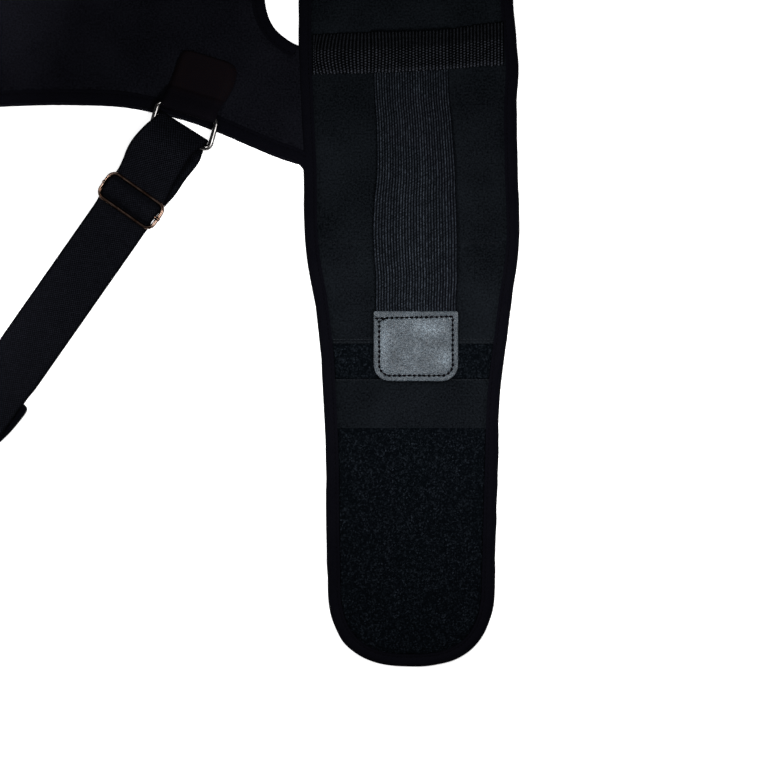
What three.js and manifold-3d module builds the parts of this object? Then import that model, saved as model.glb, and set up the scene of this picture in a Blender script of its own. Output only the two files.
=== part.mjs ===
// Posture corrector lying open with its outer face up, in millimetres with +Z up.
// The waist belt runs along Y, +X points down the wearer's back, and the wearer's left half is at -Y.
// Every cloth piece lies on the plane Z = 0 or is stacked on a piece that does.
import * as THREE from 'three';
import { mergeVertices } from 'three/addons/utils/BufferGeometryUtils.js';
import Module from 'manifold-3d';

const wasm = await Module();
wasm.setup();

// Clearances between pieces
const gap = 0.3;
const layerGap = 0.2;

// Cloth panels and their folded edge tape
const clothHeight = 3.6;
const padHeight = 4.6;
const tapeThick = 1.0;
const tapeLip = 8.5;
const tapeLift = 0.1;
const rimClear = 0.15;
const seamStep = 0.2;

// Waist belt: distance from the wearer's midline, top edge and foot edge
const beltRows = [
  { along: 0, top: 131.0, foot: 270.4 },
  { along: 39, top: 131.0, foot: 270.4 },
  { along: 62, top: 131.0, foot: 272.4 },
  { along: 85, top: 131.4, foot: 274.0 },
  { along: 104, top: 132.2, foot: 272.9 },
  { along: 149, top: 134.4, foot: 273.2 },
  { along: 195, top: 135.5, foot: 274.3 },
  { along: 208, top: 136.8, foot: 273.4 },
  { along: 234, top: 141.4, foot: 269.4 },
  { along: 260, top: 144.6, foot: 266.2 },
  { along: 299, top: 147.2, foot: 261.8 },
  { along: 338, top: 148.8, foot: 260.6 },
  { along: 377, top: 149.2, foot: 259.4 },
  { along: 416, top: 149.8, foot: 258.4 },
];
const beltEndDepth = 56;
const beltEndPower = 2.55;
const beltEndSteps = 14;
const seamAlong = 199.6;

// Pieces sewn to the belt's outer face
const pileHeight = 1.5;
const loopFieldAlong = 317.2;
const stripAlong = { from: 262.6, to: 285.2 };
const hookPad = { from: 330, thick: 1.2, inset: 16 };

// Anchor band, raised where it crosses the pull strap and rising towards the foot edge
const band = { from: 60.6, to: 88.4, thick: 1.6, ribs: 56, ribDepth: 0.6, ramp: 2, riseFrom: 230, rise: 5.2 };

// Elastic pull strap: centre line, width and height of its underside
const pullStrap = { thick: 1.5, ribs: 27, ribDepth: 0.5 };
const pullStrapRows = [
  { along: 63, centre: 203.8, width: 48.4, base: 3.8 },
  { along: 89, centre: 204.1, width: 48.4, base: 3.8 },
  { along: 102, centre: 204.6, width: 48.4, base: 4.6 },
  { along: 146, centre: 206.9, width: 50.2, base: 6.2 },
  { along: 193, centre: 207.0, width: 54.4, base: 6.8 },
  { along: 220, centre: 207.3, width: 52.8, base: 6.3 },
  { along: 241, centre: 207.6, width: 52.0, base: 5.5 },
  { along: 282, centre: 207.3, width: 50.6, base: 5.5 },
];

// Pull tab
const tab = { from: 241.5, to: 286.8, centre: 207.2, width: 54.6, base: 7.3, thick: 1.7 };
const tabFootRadius = 10.6;
const tabHeadRadius = 1.4;
const tabEdge = 0.5;

// Back panel: its side edge from the belt to the shoulder, as X and distance from the midline
const sideRows = [
  { x: 129.7, across: 144.4 },
  { x: 119.3, across: 141.0 },
  { x: 103.7, across: 134.6 },
  { x: 82.9, across: 125.6 },
  { x: 62.1, across: 117.8 },
  { x: 41.3, across: 112.2 },
  { x: 20.5, across: 108.2 },
  { x: -14, across: 106.4 },
  { x: -52, across: 107.0 },
  { x: -90, across: 109.6 },
];
const sideMeetsBelt = 146;
const neckRows = [
  { x: -156.6, across: 48 },
  { x: -151.6, across: 24 },
  { x: -150, across: 0 },
];

// Open slot between the back panel and the belt
const slot = { x: 109.5, straight: 39, tip: 69, radius: 31.7, steps: 6 };

// Shoulder pad: a straight run from the panel's top corner, then an arc round to the webbing
const pad = { width: 60, startX: -143.8, startY: -92.2, heading: 225, straight: 100.1, radius: 100, turn: 190 };
const padEndWidth = 46;
const padSteps = 14;

// Wire ring, its sewn patch, and the webbing with its slider
const ring = { x: 57.03, y: -121.45, z: 5.05, angle: -17, tilt: 10.03, length: 40, height: 20.1 };
const ringWire = 3.2;
const ringCorner = 4;
const patchThick = 1.1;
const patchBar = { along: 9.9, height: 6.8 };
const webbing = { x: 55.86, y: -122.87, angle: -125, thick: 1.4, width: 37.6, foldWidth: 35 };
const slider = { along: 57.4, height: 4.8, spread: 18, length: 41.6, wire: 2.6, corner: 3.8, boss: 1.8 };
const wireSides = 8;
const cornerSteps = 4;

const fold = { along: 3.3, height: 4.0, radius: 3.3 };
const wrapRadius = slider.wire / 2 + gap + webbing.thick / 2;
const patchRadius = ringWire / 2 + gap + patchThick / 2;

// Turned part of a strap: rows on an arc from one angle to another
function arcRows(centre, radius, fromDegrees, toDegrees, steps, extra) {
  const rows = [];
  for (let i = 0; i <= steps; i += 1) {
    const angle = THREE.MathUtils.degToRad(fromDegrees + (toDegrees - fromDegrees) * (i / steps));
    const along = centre.along + radius * Math.cos(angle);
    const height = centre.height + radius * Math.sin(angle);
    rows.push({ along, height, ...extra });
  }
  return rows;
}

// Webbing from its sewn end round the slider's middle bar, along the table to the ring,
// back over itself, through the slider and on to the shoulder pad
const webbingRows = [
  ...arcRows(slider, wrapRadius, 130, -90, 8, { width: webbing.width, shift: 0 }),
  { along: 49.5, height: 0.7, width: webbing.width, shift: 0 },
  { along: 30, height: 0.7, width: webbing.width, shift: 0.8 },
  { along: 14, height: 0.7, width: 36.6, shift: 1.7 },
  ...arcRows(fold, fold.radius, 270, 90, 6, { width: webbing.foldWidth, shift: 0 }),
  { along: 10, height: 7.3, width: 35.6, shift: -1.0 },
  { along: 16, height: 6.4, width: 36.6, shift: -1.6 },
  { along: 26, height: 4.6, width: webbing.width, shift: -1.8 },
  { along: 38, height: 2.9, width: webbing.width, shift: -1.0 },
  { along: 44, height: 2.4, width: webbing.width, shift: -0.3 },
  { along: 48.4, height: 2.4, width: webbing.width, shift: 0 },
  { along: 50.6, height: 3.3, width: webbing.width, shift: 0 },
  { along: 51.8, height: 5.4, width: webbing.width, shift: 0 },
  { along: 53.7, height: 7.8, width: webbing.width, shift: 0 },
  { along: 55.5, height: 8.7, width: webbing.width, shift: 0 },
  { along: 57.4, height: 8.95, width: webbing.width, shift: 0 },
  { along: 59.3, height: 8.7, width: webbing.width, shift: 0 },
  { along: 61.1, height: 7.8, width: webbing.width, shift: 0 },
  { along: 63.0, height: 5.4, width: webbing.width, shift: 0 },
  { along: 64.2, height: 3.3, width: webbing.width, shift: 0 },
  { along: 66.4, height: 2.4, width: webbing.width, shift: 0 },
  { along: 70, height: 1.5, width: webbing.width, shift: 0 },
  { along: 75, height: 0.7, width: webbing.width, shift: 0 },
  { along: 191, height: 0.7, width: webbing.width, shift: 0 },
  { along: 197, height: 3.2, width: webbing.width, shift: 0 },
  { along: 202, height: 5.5, width: webbing.width, shift: 0 },
  { along: 230, height: 5.5, width: webbing.width, shift: 0 },
];

// Leatherette strip: sewn leaf with rounded top corners, loop round the ring's top bar, short leaf beneath
const patchRows = [
  { along: 37.6, height: 4.35, width: 27, shift: -3.4 },
  { along: 36.9, height: 4.35, width: 32, shift: -3.4 },
  { along: 35.2, height: 4.35, width: 35.5, shift: -3.2 },
  { along: 32, height: 4.35, width: 37.5, shift: -2.8 },
  { along: 13.6, height: 4.35, width: 37.5, shift: -0.6 },
  { along: 10.8, height: 5.9, width: 36.5, shift: -0.4 },
  { along: 7, height: 7.3, width: 34.5, shift: -0.2 },
  { along: 3.6, height: 8.55, width: 33, shift: 0 },
  ...arcRows({ along: 0, height: patchBar.height }, patchRadius, 70, 270, 7, { width: 33, shift: 0 }),
  { along: 4, height: 4.35, width: 33, shift: 0 },
  { along: 10.4, height: 4.35, width: 33, shift: 0 },
];

const materials = {
  cloth: new THREE.MeshStandardMaterial({ color: 0x17191c, roughness: 0.95 }),
  tape: new THREE.MeshStandardMaterial({ color: 0x0d0d12, roughness: 0.9 }),
  pile: new THREE.MeshStandardMaterial({ color: 0x0c1013, roughness: 1.0 }),
  elastic: new THREE.MeshStandardMaterial({ color: 0x1e2025, roughness: 0.85 }),
  leatherette: new THREE.MeshStandardMaterial({ color: 0x23272b, roughness: 0.45 }),
  webbing: new THREE.MeshStandardMaterial({ color: 0x111216, roughness: 0.9 }),
  metal: new THREE.MeshStandardMaterial({ color: 0xb9bcc0, roughness: 0.2, metalness: 1.0 }),
  hook: new THREE.MeshStandardMaterial({ color: 0x101114, roughness: 0.8 }),
};

function at(x, y) {
  return new THREE.Vector2(x, y);
}

// Closed solid through sections of equal count; cap is the section's flat layout for its two ends,
// and a solid with no cap closes on itself
function loft(sections, cap = null) {
  const count = sections[0].length;
  const spans = cap ? sections.length - 1 : sections.length;
  const faces = [];
  for (let s = 0; s < spans; s += 1) {
    const here = s * count;
    const next = ((s + 1) % sections.length) * count;
    for (let k = 0; k < count; k += 1) {
      const after = (k + 1) % count;
      faces.push([here + k, next + k, next + after], [here + k, next + after, here + after]);
    }
  }
  if (cap) {
    const last = (sections.length - 1) * count;
    const flips = THREE.ShapeUtils.isClockWise(cap);
    for (const face of THREE.ShapeUtils.triangulateShape(cap.slice(), [])) {
      const [a, b, c] = flips ? face.slice().reverse() : face;
      faces.push([a, b, c], [last + c, last + b, last + a]);
    }
  }
  return outward(sections.flat(), faces);
}

// Geometry whose faces all look outwards
function outward(corners, faces) {
  let volume = 0;
  for (const [a, b, c] of faces) {
    volume += corners[a].dot(new THREE.Vector3().crossVectors(corners[b], corners[c]));
  }
  const order = volume < 0 ? faces.map(([a, b, c]) => [a, c, b]) : faces;
  const geometry = new THREE.BufferGeometry();
  geometry.setFromPoints(corners);
  geometry.setIndex(order.flat());
  return geometry;
}

function prism(outline, low, high) {
  const options = { depth: high - low, bevelEnabled: false };
  return new THREE.ExtrudeGeometry(new THREE.Shape(outline), options).translate(0, 0, low);
}

function solid(geometry) {
  const bare = new THREE.BufferGeometry();
  bare.setAttribute('position', geometry.getAttribute('position'));
  bare.setIndex(geometry.getIndex());
  const welded = mergeVertices(bare, 1e-4);
  const vertProperties = new Float32Array(welded.getAttribute('position').array);
  const triVerts = new Uint32Array(welded.getIndex().array);
  return new wasm.Manifold(new wasm.Mesh({ numProp: 3, vertProperties, triVerts }));
}

function surface(joined) {
  const data = joined.getMesh();
  const geometry = new THREE.BufferGeometry();
  geometry.setAttribute('position', new THREE.BufferAttribute(data.vertProperties, 3));
  geometry.setIndex(new THREE.BufferAttribute(data.triVerts, 1));
  return geometry;
}

function piece(name, geometry, material) {
  const mesh = new THREE.Mesh(geometry, material);
  mesh.name = name;
  return mesh;
}

// Outline whose every edge is moved inwards by its own distance; the corners run anticlockwise
function inset(outline, distances) {
  const normals = outline.map((corner, i) => {
    const edge = outline[(i + 1) % outline.length].clone().sub(corner).normalize();
    return at(-edge.y, edge.x);
  });
  return outline.map((corner, i) => {
    const before = (i + outline.length - 1) % outline.length;
    const [a, b] = [normals[before], normals[i]];
    const [da, db] = [distances[before], distances[i]];
    const turn = a.cross(b);
    if (Math.abs(turn) < 1e-6) {
      return corner.clone().addScaledVector(b, db);
    }
    return at(corner.x + (da * b.y - db * a.y) / turn, corner.y + (db * a.x - da * b.x) / turn);
  });
}

// Cloth panel with a thin rim, and the tape folded over each bound run of its edge.
// A run lists its corners up to the first corner of the next run.
function boundPanel(runs, height) {
  const outline = runs.flatMap((run) => run.corners);
  const bound = runs.flatMap((run) => run.corners.map(() => run.tape !== null));
  const shrunk = (distance, open = 0) => inset(outline, bound.map((isBound) => (isBound ? distance : open)));
  const core = prism(shrunk(tapeLip + gap, seamStep), 0, height);
  const lowLip = tapeLift + tapeThick;
  const rim = prism(shrunk(tapeThick + gap), lowLip + rimClear, height - tapeThick - rimClear);
  const tapeSection = [
    at(0, tapeLift),
    at(tapeLip, tapeLift),
    at(tapeLip, lowLip),
    at(tapeThick, lowLip),
    at(tapeThick, height - tapeThick),
    at(tapeLip, height - tapeThick),
    at(tapeLip, height),
    at(0, height),
  ];
  const levels = tapeSection.map((point) => shrunk(point.x));
  const section = (i) => (
    tapeSection.map((point, k) => new THREE.Vector3(levels[k][i].x, levels[k][i].y, point.y))
  );
  const tapes = {};
  let first = 0;
  for (const run of runs) {
    const last = first + run.corners.length;
    if (run.tape !== null) {
      const whole = run.corners.length === outline.length;
      const sections = [];
      for (let i = first; i < (whole ? last : last + 1); i += 1) {
        sections.push(section(i % outline.length));
      }
      tapes[run.tape] = loft(sections, whole ? null : tapeSection);
    }
    first = last;
  }
  return { cloth: solid(core).add(solid(rim)), tapes };
}

function beltEdge(along, column) {
  const upper = beltRows.findIndex((row) => row.along >= along);
  const [low, high] = [beltRows[Math.max(upper - 1, 0)], beltRows[upper]];
  const share = high === low ? 0 : (along - low.along) / (high.along - low.along);
  return THREE.MathUtils.lerp(low[column], high[column], share);
}

// Belt outline: foot edge, right end, top edge, left end
function beltOutline() {
  const end = beltRows[beltRows.length - 1];
  const [centre, half] = [(end.top + end.foot) / 2, (end.foot - end.top) / 2];
  const round = [];
  for (let i = 1; i < beltEndSteps; i += 1) {
    const angle = (Math.PI * i) / beltEndSteps;
    const side = Math.sign(Math.cos(angle)) * Math.abs(Math.cos(angle)) ** (2 / beltEndPower);
    const reach = Math.sin(angle) ** (2 / beltEndPower);
    round.push(at(centre + half * side, end.along + beltEndDepth * reach));
  }
  const rightFoot = beltRows.map((row) => at(row.foot, row.along));
  const rightTop = beltRows.map((row) => at(row.top, row.along)).reverse();
  const right = [...rightFoot, ...round, ...rightTop];
  const left = right.slice(1, -1).map((point) => at(point.x, -point.y)).reverse();
  return [...right, ...left];
}

function beltSlice(from, to, low, high) {
  return solid(prism([at(100, -to), at(300, -to), at(300, -from), at(100, -from)], low, high));
}

// Flat piece that fills the belt between its tape edges, from one distance along the belt to another
function beltOverlay(outline, margin, from, to, low, high) {
  const inner = inset(outline, outline.map(() => margin));
  return solid(prism(inner, low, high)).intersect(beltSlice(from, to, low - 1, high + 1));
}

function backRuns() {
  const mirror = (points) => points.map((point) => at(point.x, -point.y)).reverse();
  const stations = [slot.tip, ...beltRows.map((row) => row.along), sideMeetsBelt];
  const joinStations = stations.filter((along) => along >= slot.tip && along <= sideMeetsBelt);
  const join = [...new Set(joinStations)].sort((a, b) => a - b);
  const rightJoin = join.map((along) => at(beltEdge(along, 'top') - gap, along));
  const arc = [];
  for (let i = 0; i < slot.steps; i += 1) {
    const rise = ((slot.tip - slot.straight) * i) / slot.steps;
    arc.push(at(slot.x + slot.radius - Math.sqrt(slot.radius ** 2 - rise ** 2), slot.straight + rise));
  }
  const side = sideRows.map((row) => at(row.x, row.across));
  const [inner, outer] = padStart();
  const neck = neckRows.map((row) => at(row.x, row.across));
  const leftJoin = mirror(rightJoin);
  return [
    { tape: null, corners: leftJoin.slice(0, -1) },
    { tape: 'slot', corners: [leftJoin.at(-1), ...mirror(arc), ...arc] },
    { tape: null, corners: rightJoin.slice(0, -1) },
    { tape: 'right', corners: [rightJoin.at(-1), ...side] },
    { tape: null, corners: [inner] },
    { tape: 'neck', corners: [outer, ...neck, ...mirror(neck).slice(1)] },
    { tape: null, corners: [at(outer.x, -outer.y)] },
    { tape: 'left', corners: [at(inner.x, -inner.y), ...mirror(side)] },
  ];
}

// The two corners on the wearer's right where the back panel meets the shoulder pad
function padStart() {
  const across = THREE.MathUtils.degToRad(pad.heading + 90);
  const step = at(Math.cos(across), -Math.sin(across)).multiplyScalar(pad.width / 2);
  const start = at(pad.startX, -pad.startY);
  return [start.clone().add(step), start.clone().sub(step)];
}

// Shoulder pad on the wearer's left: out from the panel, round the arc to the webbing, and back inside it
function padRuns() {
  const heading = THREE.MathUtils.degToRad(pad.heading);
  const forward = at(Math.cos(heading), Math.sin(heading));
  const leftward = at(-forward.y, forward.x);
  const start = at(pad.startX, pad.startY);
  const begin = start.clone().addScaledVector(forward, gap);
  const centre = start.clone().addScaledVector(forward, pad.straight).addScaledVector(leftward, pad.radius);
  const outside = [begin.clone().addScaledVector(leftward, -pad.width / 2)];
  const inside = [begin.clone().addScaledVector(leftward, pad.width / 2)];
  for (let i = 0; i <= padSteps; i += 1) {
    const angle = heading - Math.PI / 2 + THREE.MathUtils.degToRad((pad.turn * i) / padSteps);
    const ray = at(Math.cos(angle), Math.sin(angle));
    const taper = THREE.MathUtils.smoothstep(i / padSteps, 0.6, 1);
    const half = THREE.MathUtils.lerp(pad.width, padEndWidth, taper) / 2;
    outside.push(centre.clone().addScaledVector(ray, pad.radius + half));
    inside.push(centre.clone().addScaledVector(ray, pad.radius - half));
  }
  const way = [...outside, ...inside.slice().reverse()];
  return [
    { tape: 'edge', corners: way.slice(0, -1) },
    { tape: null, corners: way.slice(-1) },
  ];
}

// Strap of even thickness along X: each row gives the middle of its thickness, its width and its sideways shift
function ribbon(rows, thick) {
  const path = rows.map((row) => at(row.along, row.height));
  const sections = rows.map((row, i) => {
    const into = path[i].clone().sub(path[Math.max(i - 1, 0)]).normalize();
    const out = path[Math.min(i + 1, path.length - 1)].clone().sub(path[i]).normalize();
    const [a, b] = [i === 0 ? out : into, i === path.length - 1 ? into : out];
    const middle = a.clone().add(b).normalize();
    const reach = thick / 2 / Math.max(middle.dot(a), 0.5);
    const offset = at(-middle.y, middle.x).multiplyScalar(reach);
    const [low, high] = [path[i].clone().sub(offset), path[i].clone().add(offset)];
    const [near, far] = [row.shift - row.width / 2, row.shift + row.width / 2];
    return [
      new THREE.Vector3(low.x, near, low.y),
      new THREE.Vector3(low.x, far, low.y),
      new THREE.Vector3(high.x, far, high.y),
      new THREE.Vector3(high.x, near, high.y),
    ];
  });
  return loft(sections, [at(0, 0), at(1, 0), at(1, 1), at(0, 1)]);
}

// Ribbed top edge of a section from one side to the other, valley first and last
function ribLine(from, to, ribs, depth, top) {
  const points = [];
  for (let k = 0; k <= 2 * ribs; k += 1) {
    points.push(at(from + ((to - from) * k) / (2 * ribs), top(k) - (k % 2 === 0 ? depth : 0)));
  }
  return points;
}

function pullStrapShape() {
  const layouts = pullStrapRows.map((row) => {
    const [from, to] = [row.centre - row.width / 2, row.centre + row.width / 2];
    const crest = () => row.base + pullStrap.thick;
    const top = ribLine(from, to, pullStrap.ribs, pullStrap.ribDepth, crest);
    return [at(to, row.base), at(from, row.base), ...top];
  });
  const sections = layouts.map((layout, i) => (
    layout.map((point) => new THREE.Vector3(point.x, -pullStrapRows[i].along, point.y))
  ));
  return loft(sections, layouts[0]);
}

function anchorBandShape() {
  const margin = tapeLip + 2 * gap;
  const middle = (band.from + band.to) / 2;
  const [from, to] = [beltEdge(middle, 'top') + margin, beltEdge(middle, 'foot') - margin];
  const strap = pullStrapRows[0];
  const flat = clothHeight + layerGap;
  const raised = strap.base + pullStrap.thick + gap;
  const [left, right] = [strap.centre - strap.width / 2 - gap, strap.centre + strap.width / 2 + gap];
  const underside = [
    at(to, flat),
    at(right + band.ramp, flat),
    at(right, raised),
    at(left, raised),
    at(left - band.ramp, flat),
    at(from, flat),
  ];
  const lift = (x) => {
    const outside = Math.max(left - x, x - right, 0);
    return THREE.MathUtils.lerp(raised, flat, Math.min(outside / band.ramp, 1));
  };
  const crest = (k) => lift(from + ((to - from) * k) / (2 * band.ribs)) + band.thick;
  const layout = [...underside, ...ribLine(from, to, band.ribs, band.ribDepth, crest)];
  const rise = (x) => band.rise * Math.max((x - band.riseFrom) / (to - band.riseFrom), 0);
  const sections = [band.from, band.to].map((along) => (
    layout.map((point) => new THREE.Vector3(point.x, rise(point.x) - along, point.y))
  ));
  return loft(sections, layout);
}

function tabShape() {
  const half = tab.width / 2;
  const outline = new THREE.Shape();
  const [head, foot] = [-tab.from, -tab.to];
  outline.moveTo(tab.centre - half, foot + tabFootRadius);
  outline.absarc(tab.centre - half + tabFootRadius, foot + tabFootRadius, tabFootRadius, Math.PI, 1.5 * Math.PI);
  outline.absarc(tab.centre + half - tabFootRadius, foot + tabFootRadius, tabFootRadius, 1.5 * Math.PI, 2 * Math.PI);
  outline.absarc(tab.centre + half - tabHeadRadius, head - tabHeadRadius, tabHeadRadius, 0, Math.PI / 2);
  outline.absarc(tab.centre - half + tabHeadRadius, head - tabHeadRadius, tabHeadRadius, Math.PI / 2, Math.PI);
  const options = {
    depth: tab.thick - 2 * tabEdge,
    curveSegments: 5,
    bevelSize: tabEdge,
    bevelOffset: -tabEdge,
    bevelThickness: tabEdge,
    bevelSegments: 1,
  };
  return surface(solid(new THREE.ExtrudeGeometry(outline, options).translate(0, 0, tab.base + tabEdge)));
}

// Closed loop of round wire in the XY plane, a rounded rectangle measured to the wire's centre
function wireLoop(sizeX, sizeY, corner, wire) {
  const sections = [];
  const quarters = [[1, 1], [-1, 1], [-1, -1], [1, -1]];
  quarters.forEach(([signX, signY], quarter) => {
    const centre = at(signX * (sizeX / 2 - corner), signY * (sizeY / 2 - corner));
    for (let i = 0; i <= cornerSteps; i += 1) {
      const angle = (Math.PI / 2) * (quarter + i / cornerSteps);
      const ray = at(Math.cos(angle), Math.sin(angle));
      const section = [];
      for (let k = 0; k < wireSides; k += 1) {
        const round = (2 * Math.PI * (k + 0.5)) / wireSides;
        const reach = corner + (wire / 2) * Math.cos(round);
        const point = centre.clone().addScaledVector(ray, reach);
        section.push(new THREE.Vector3(point.x, point.y, (wire / 2) * Math.sin(round)));
      }
      sections.push(section);
    }
  });
  return loft(sections);
}

function sliderShape() {
  const frame = solid(wireLoop(slider.spread, slider.length, slider.corner, slider.wire));
  const bar = solid(new THREE.CylinderGeometry(slider.wire / 2, slider.wire / 2, slider.length, wireSides));
  const bosses = [-1, 1].map((sign) => {
    const ball = new THREE.SphereGeometry(slider.boss, wireSides, 5);
    return solid(ball.translate(0, (sign * slider.length) / 2, 0));
  });
  return surface(frame.add(bar).add(bosses[0]).add(bosses[1]));
}

// Strap fittings of one side: ring with its patch, webbing with its slider, shoulder pad
function shoulderSide(side) {
  const group = new THREE.Group();
  const ringPlace = new THREE.Group();
  ringPlace.position.set(ring.x, ring.y, 0);
  ringPlace.rotation.z = THREE.MathUtils.degToRad(ring.angle);
  const loop = piece(`strap_ring_${side}`, wireLoop(ring.length, ring.height, ringCorner, ringWire), materials.metal);
  loop.position.z = ring.z;
  loop.rotation.x = THREE.MathUtils.degToRad(ring.tilt);
  const patch = piece(`ring_patch_${side}`, ribbon(patchRows, patchThick), materials.leatherette);
  patch.position.y = patchBar.along;
  patch.rotation.z = Math.PI / 2;
  ringPlace.add(loop, patch);
  const strapPlace = new THREE.Group();
  strapPlace.position.set(webbing.x, webbing.y, 0);
  strapPlace.rotation.z = THREE.MathUtils.degToRad(webbing.angle);
  const slide = piece(`strap_slider_${side}`, sliderShape(), materials.metal);
  slide.position.set(slider.along, 0, slider.height);
  strapPlace.add(slide, piece(`strap_webbing_${side}`, ribbon(webbingRows, webbing.thick), materials.webbing));
  const padding = boundPanel(padRuns(), padHeight);
  group.add(ringPlace, strapPlace);
  group.add(piece(`shoulder_pad_${side}`, surface(padding.cloth), materials.cloth));
  group.add(piece(`pad_binding_${side}`, padding.tapes.edge, materials.tape));
  return group;
}

// Belt end of one side with the pieces sewn to it
function beltSide(side, outline, beltCloth) {
  const group = new THREE.Group();
  const pileBase = clothHeight + layerGap;
  const pileTop = pileBase + pileHeight;
  const margin = tapeLip + 2 * gap;
  let end = beltCloth.intersect(beltSlice(seamAlong + gap / 2, 500, -1, clothHeight + 1));
  if (side === 'right') {
    const pocket = beltOverlay(outline, hookPad.inset - gap, hookPad.from - gap, 500, -1, hookPad.thick + gap);
    end = end.subtract(pocket);
    const hooks = beltOverlay(outline, hookPad.inset, hookPad.from, 500, 0, hookPad.thick);
    group.add(piece(`hook_pad_${side}`, surface(hooks), materials.hook));
  }
  group.add(piece(`belt_end_${side}`, surface(end), materials.cloth));
  const field = beltOverlay(outline, margin, loopFieldAlong, 500, pileBase, pileTop);
  group.add(piece(`loop_field_${side}`, surface(field), materials.pile));
  const strip = beltOverlay(outline, margin, stripAlong.from, stripAlong.to, pileBase, pileTop);
  group.add(piece(`tab_strip_${side}`, surface(strip), materials.pile));
  group.add(piece(`anchor_band_${side}`, anchorBandShape(), materials.elastic));
  group.add(piece(`pull_strap_${side}`, pullStrapShape(), materials.elastic));
  group.add(piece(`pull_tab_${side}`, tabShape(), materials.leatherette));
  return group;
}

function build() {
  const brace = new THREE.Group();
  brace.name = 'posture_corrector';
  const outline = beltOutline();
  const belt = boundPanel([{ tape: 'edge', corners: outline }], clothHeight);
  const back = boundPanel(backRuns(), clothHeight);
  const middle = belt.cloth.intersect(beltSlice(-seamAlong + gap / 2, seamAlong - gap / 2, -1, clothHeight + 1));
  brace.add(piece('belt_back', surface(middle), materials.cloth));
  brace.add(piece('belt_binding', belt.tapes.edge, materials.tape));
  brace.add(piece('back_panel', surface(back.cloth), materials.cloth));
  brace.add(piece('back_binding_left', back.tapes.left, materials.tape));
  brace.add(piece('back_binding_right', back.tapes.right, materials.tape));
  brace.add(piece('slot_binding', back.tapes.slot, materials.tape));
  brace.add(piece('neck_binding', back.tapes.neck, materials.tape));
  for (const side of ['left', 'right']) {
    const half = new THREE.Group();
    half.add(beltSide(side, outline, belt.cloth), shoulderSide(side));
    half.scale.y = side === 'left' ? 1 : -1;
    brace.add(half);
  }
  return brace;
}

export default build();
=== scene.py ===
import math

import bpy
import numpy as np
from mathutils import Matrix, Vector


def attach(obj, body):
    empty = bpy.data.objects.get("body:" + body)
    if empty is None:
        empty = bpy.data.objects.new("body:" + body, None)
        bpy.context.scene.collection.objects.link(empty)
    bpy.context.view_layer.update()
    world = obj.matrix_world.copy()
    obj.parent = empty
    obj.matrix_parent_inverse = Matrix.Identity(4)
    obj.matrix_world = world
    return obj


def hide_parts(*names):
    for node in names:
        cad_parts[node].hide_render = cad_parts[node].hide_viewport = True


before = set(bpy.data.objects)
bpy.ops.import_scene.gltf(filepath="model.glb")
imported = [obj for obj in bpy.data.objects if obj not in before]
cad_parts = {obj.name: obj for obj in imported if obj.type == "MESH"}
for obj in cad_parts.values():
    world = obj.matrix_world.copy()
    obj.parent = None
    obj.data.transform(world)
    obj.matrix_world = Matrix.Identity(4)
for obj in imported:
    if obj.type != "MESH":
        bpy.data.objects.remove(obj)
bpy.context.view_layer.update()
mm = 0.001
sides = {"left": -1, "right": 1}  # sign of Y on the wearer's left and right
creased, smooth = 50, 180  # degrees past which an edge shows as a crease
fineCount = 400  # points on a curve before it is spaced out evenly
footThin = 8  # columns of a top grid for each column of its foot


# Curves and small shape functions

def smoothStep(t):
    # 0 to 1 with level ends: t squared times (3 - 2t)
    t = np.clip(t, 0, 1)
    return t * t * (3 - 2 * t)


def smoothCurve(at, knots, values):
    # cubic through the knots; a knot's slope comes from its neighbours, and is level beside a level stretch
    at = np.clip(at, knots[0], knots[-1])
    slope = np.gradient(values, knots)
    level = np.abs(np.diff(values)) < 1e-9
    slope[:-1][level] = 0
    slope[1:][level] = 0
    i = np.clip(np.searchsorted(knots, at, side="right") - 1, 0, len(knots) - 2)
    step = knots[i + 1] - knots[i]
    t = (at - knots[i]) / step
    start = values[i] * (1 + 2 * t) * (1 - t) ** 2 + slope[i] * step * t * (1 - t) ** 2
    return start + values[i + 1] * t * t * (3 - 2 * t) + slope[i + 1] * step * t * t * (t - 1)


def ripple(x, y, cell, seed):
    # random heights on a square lattice, blended smoothly between its corners, from -1 to 1
    size = 61
    heights = np.random.default_rng(seed).uniform(-1, 1, (size, size))
    i, j = np.floor(x / cell).astype(int), np.floor(y / cell).astype(int)
    u, v = smoothStep(x / cell - i), smoothStep(y / cell - j)
    near = heights[i % size, j % size] * (1 - u) + heights[(i + 1) % size, j % size] * u
    far = heights[i % size, (j + 1) % size] * (1 - u) + heights[(i + 1) % size, (j + 1) % size] * u
    return near * (1 - v) + far * v


def roundRim(inside, radius, rim):
    # quarter circle from the rim's share of the height up to 1 at one radius inside the edge
    t = 1 - np.clip(inside / radius, 0, 1)
    return rim + (1 - rim) * np.sqrt(1 - t * t)


def rise(value, start, reach):
    # 0 up to the start, then smoothly to 1 within one reach
    return smoothStep((value - start) / reach)


def between(value, start, stop, fade):
    # 0 outside start and stop, rising smoothly to 1 over a fade inside each
    return rise(value, start, fade) * smoothStep((stop - value) / fade)


def bell(distance, height, reach):
    # normal curve of that height
    return height * np.exp(-(distance / reach) ** 2)


def waves(x, y, height, cell, seed, sign=0):
    # ripple of that height; the sign of a side gives it a ripple of its own
    return height * ripple(x, y, cell, seed + sign)


def pathLength(path):
    # distance travelled up to each point of a polyline
    return np.concatenate([[0], np.cumsum(np.linalg.norm(np.diff(path, axis=0), axis=1))])


def pointsAt(at, length, path):
    # each column of the path, read off at the given distances
    return np.stack([np.interp(at, length, column) for column in path.T], axis=1)


def evenCount(path, count):
    # the same polyline with that many points, evenly spaced by length
    length = pathLength(path)
    return pointsAt(np.linspace(0, length[-1], count), length, path)


def evenPath(path, step):
    # the same polyline with points about one step apart
    return evenCount(path, max(3, int(round(pathLength(path)[-1] / step)) + 1))


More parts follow.
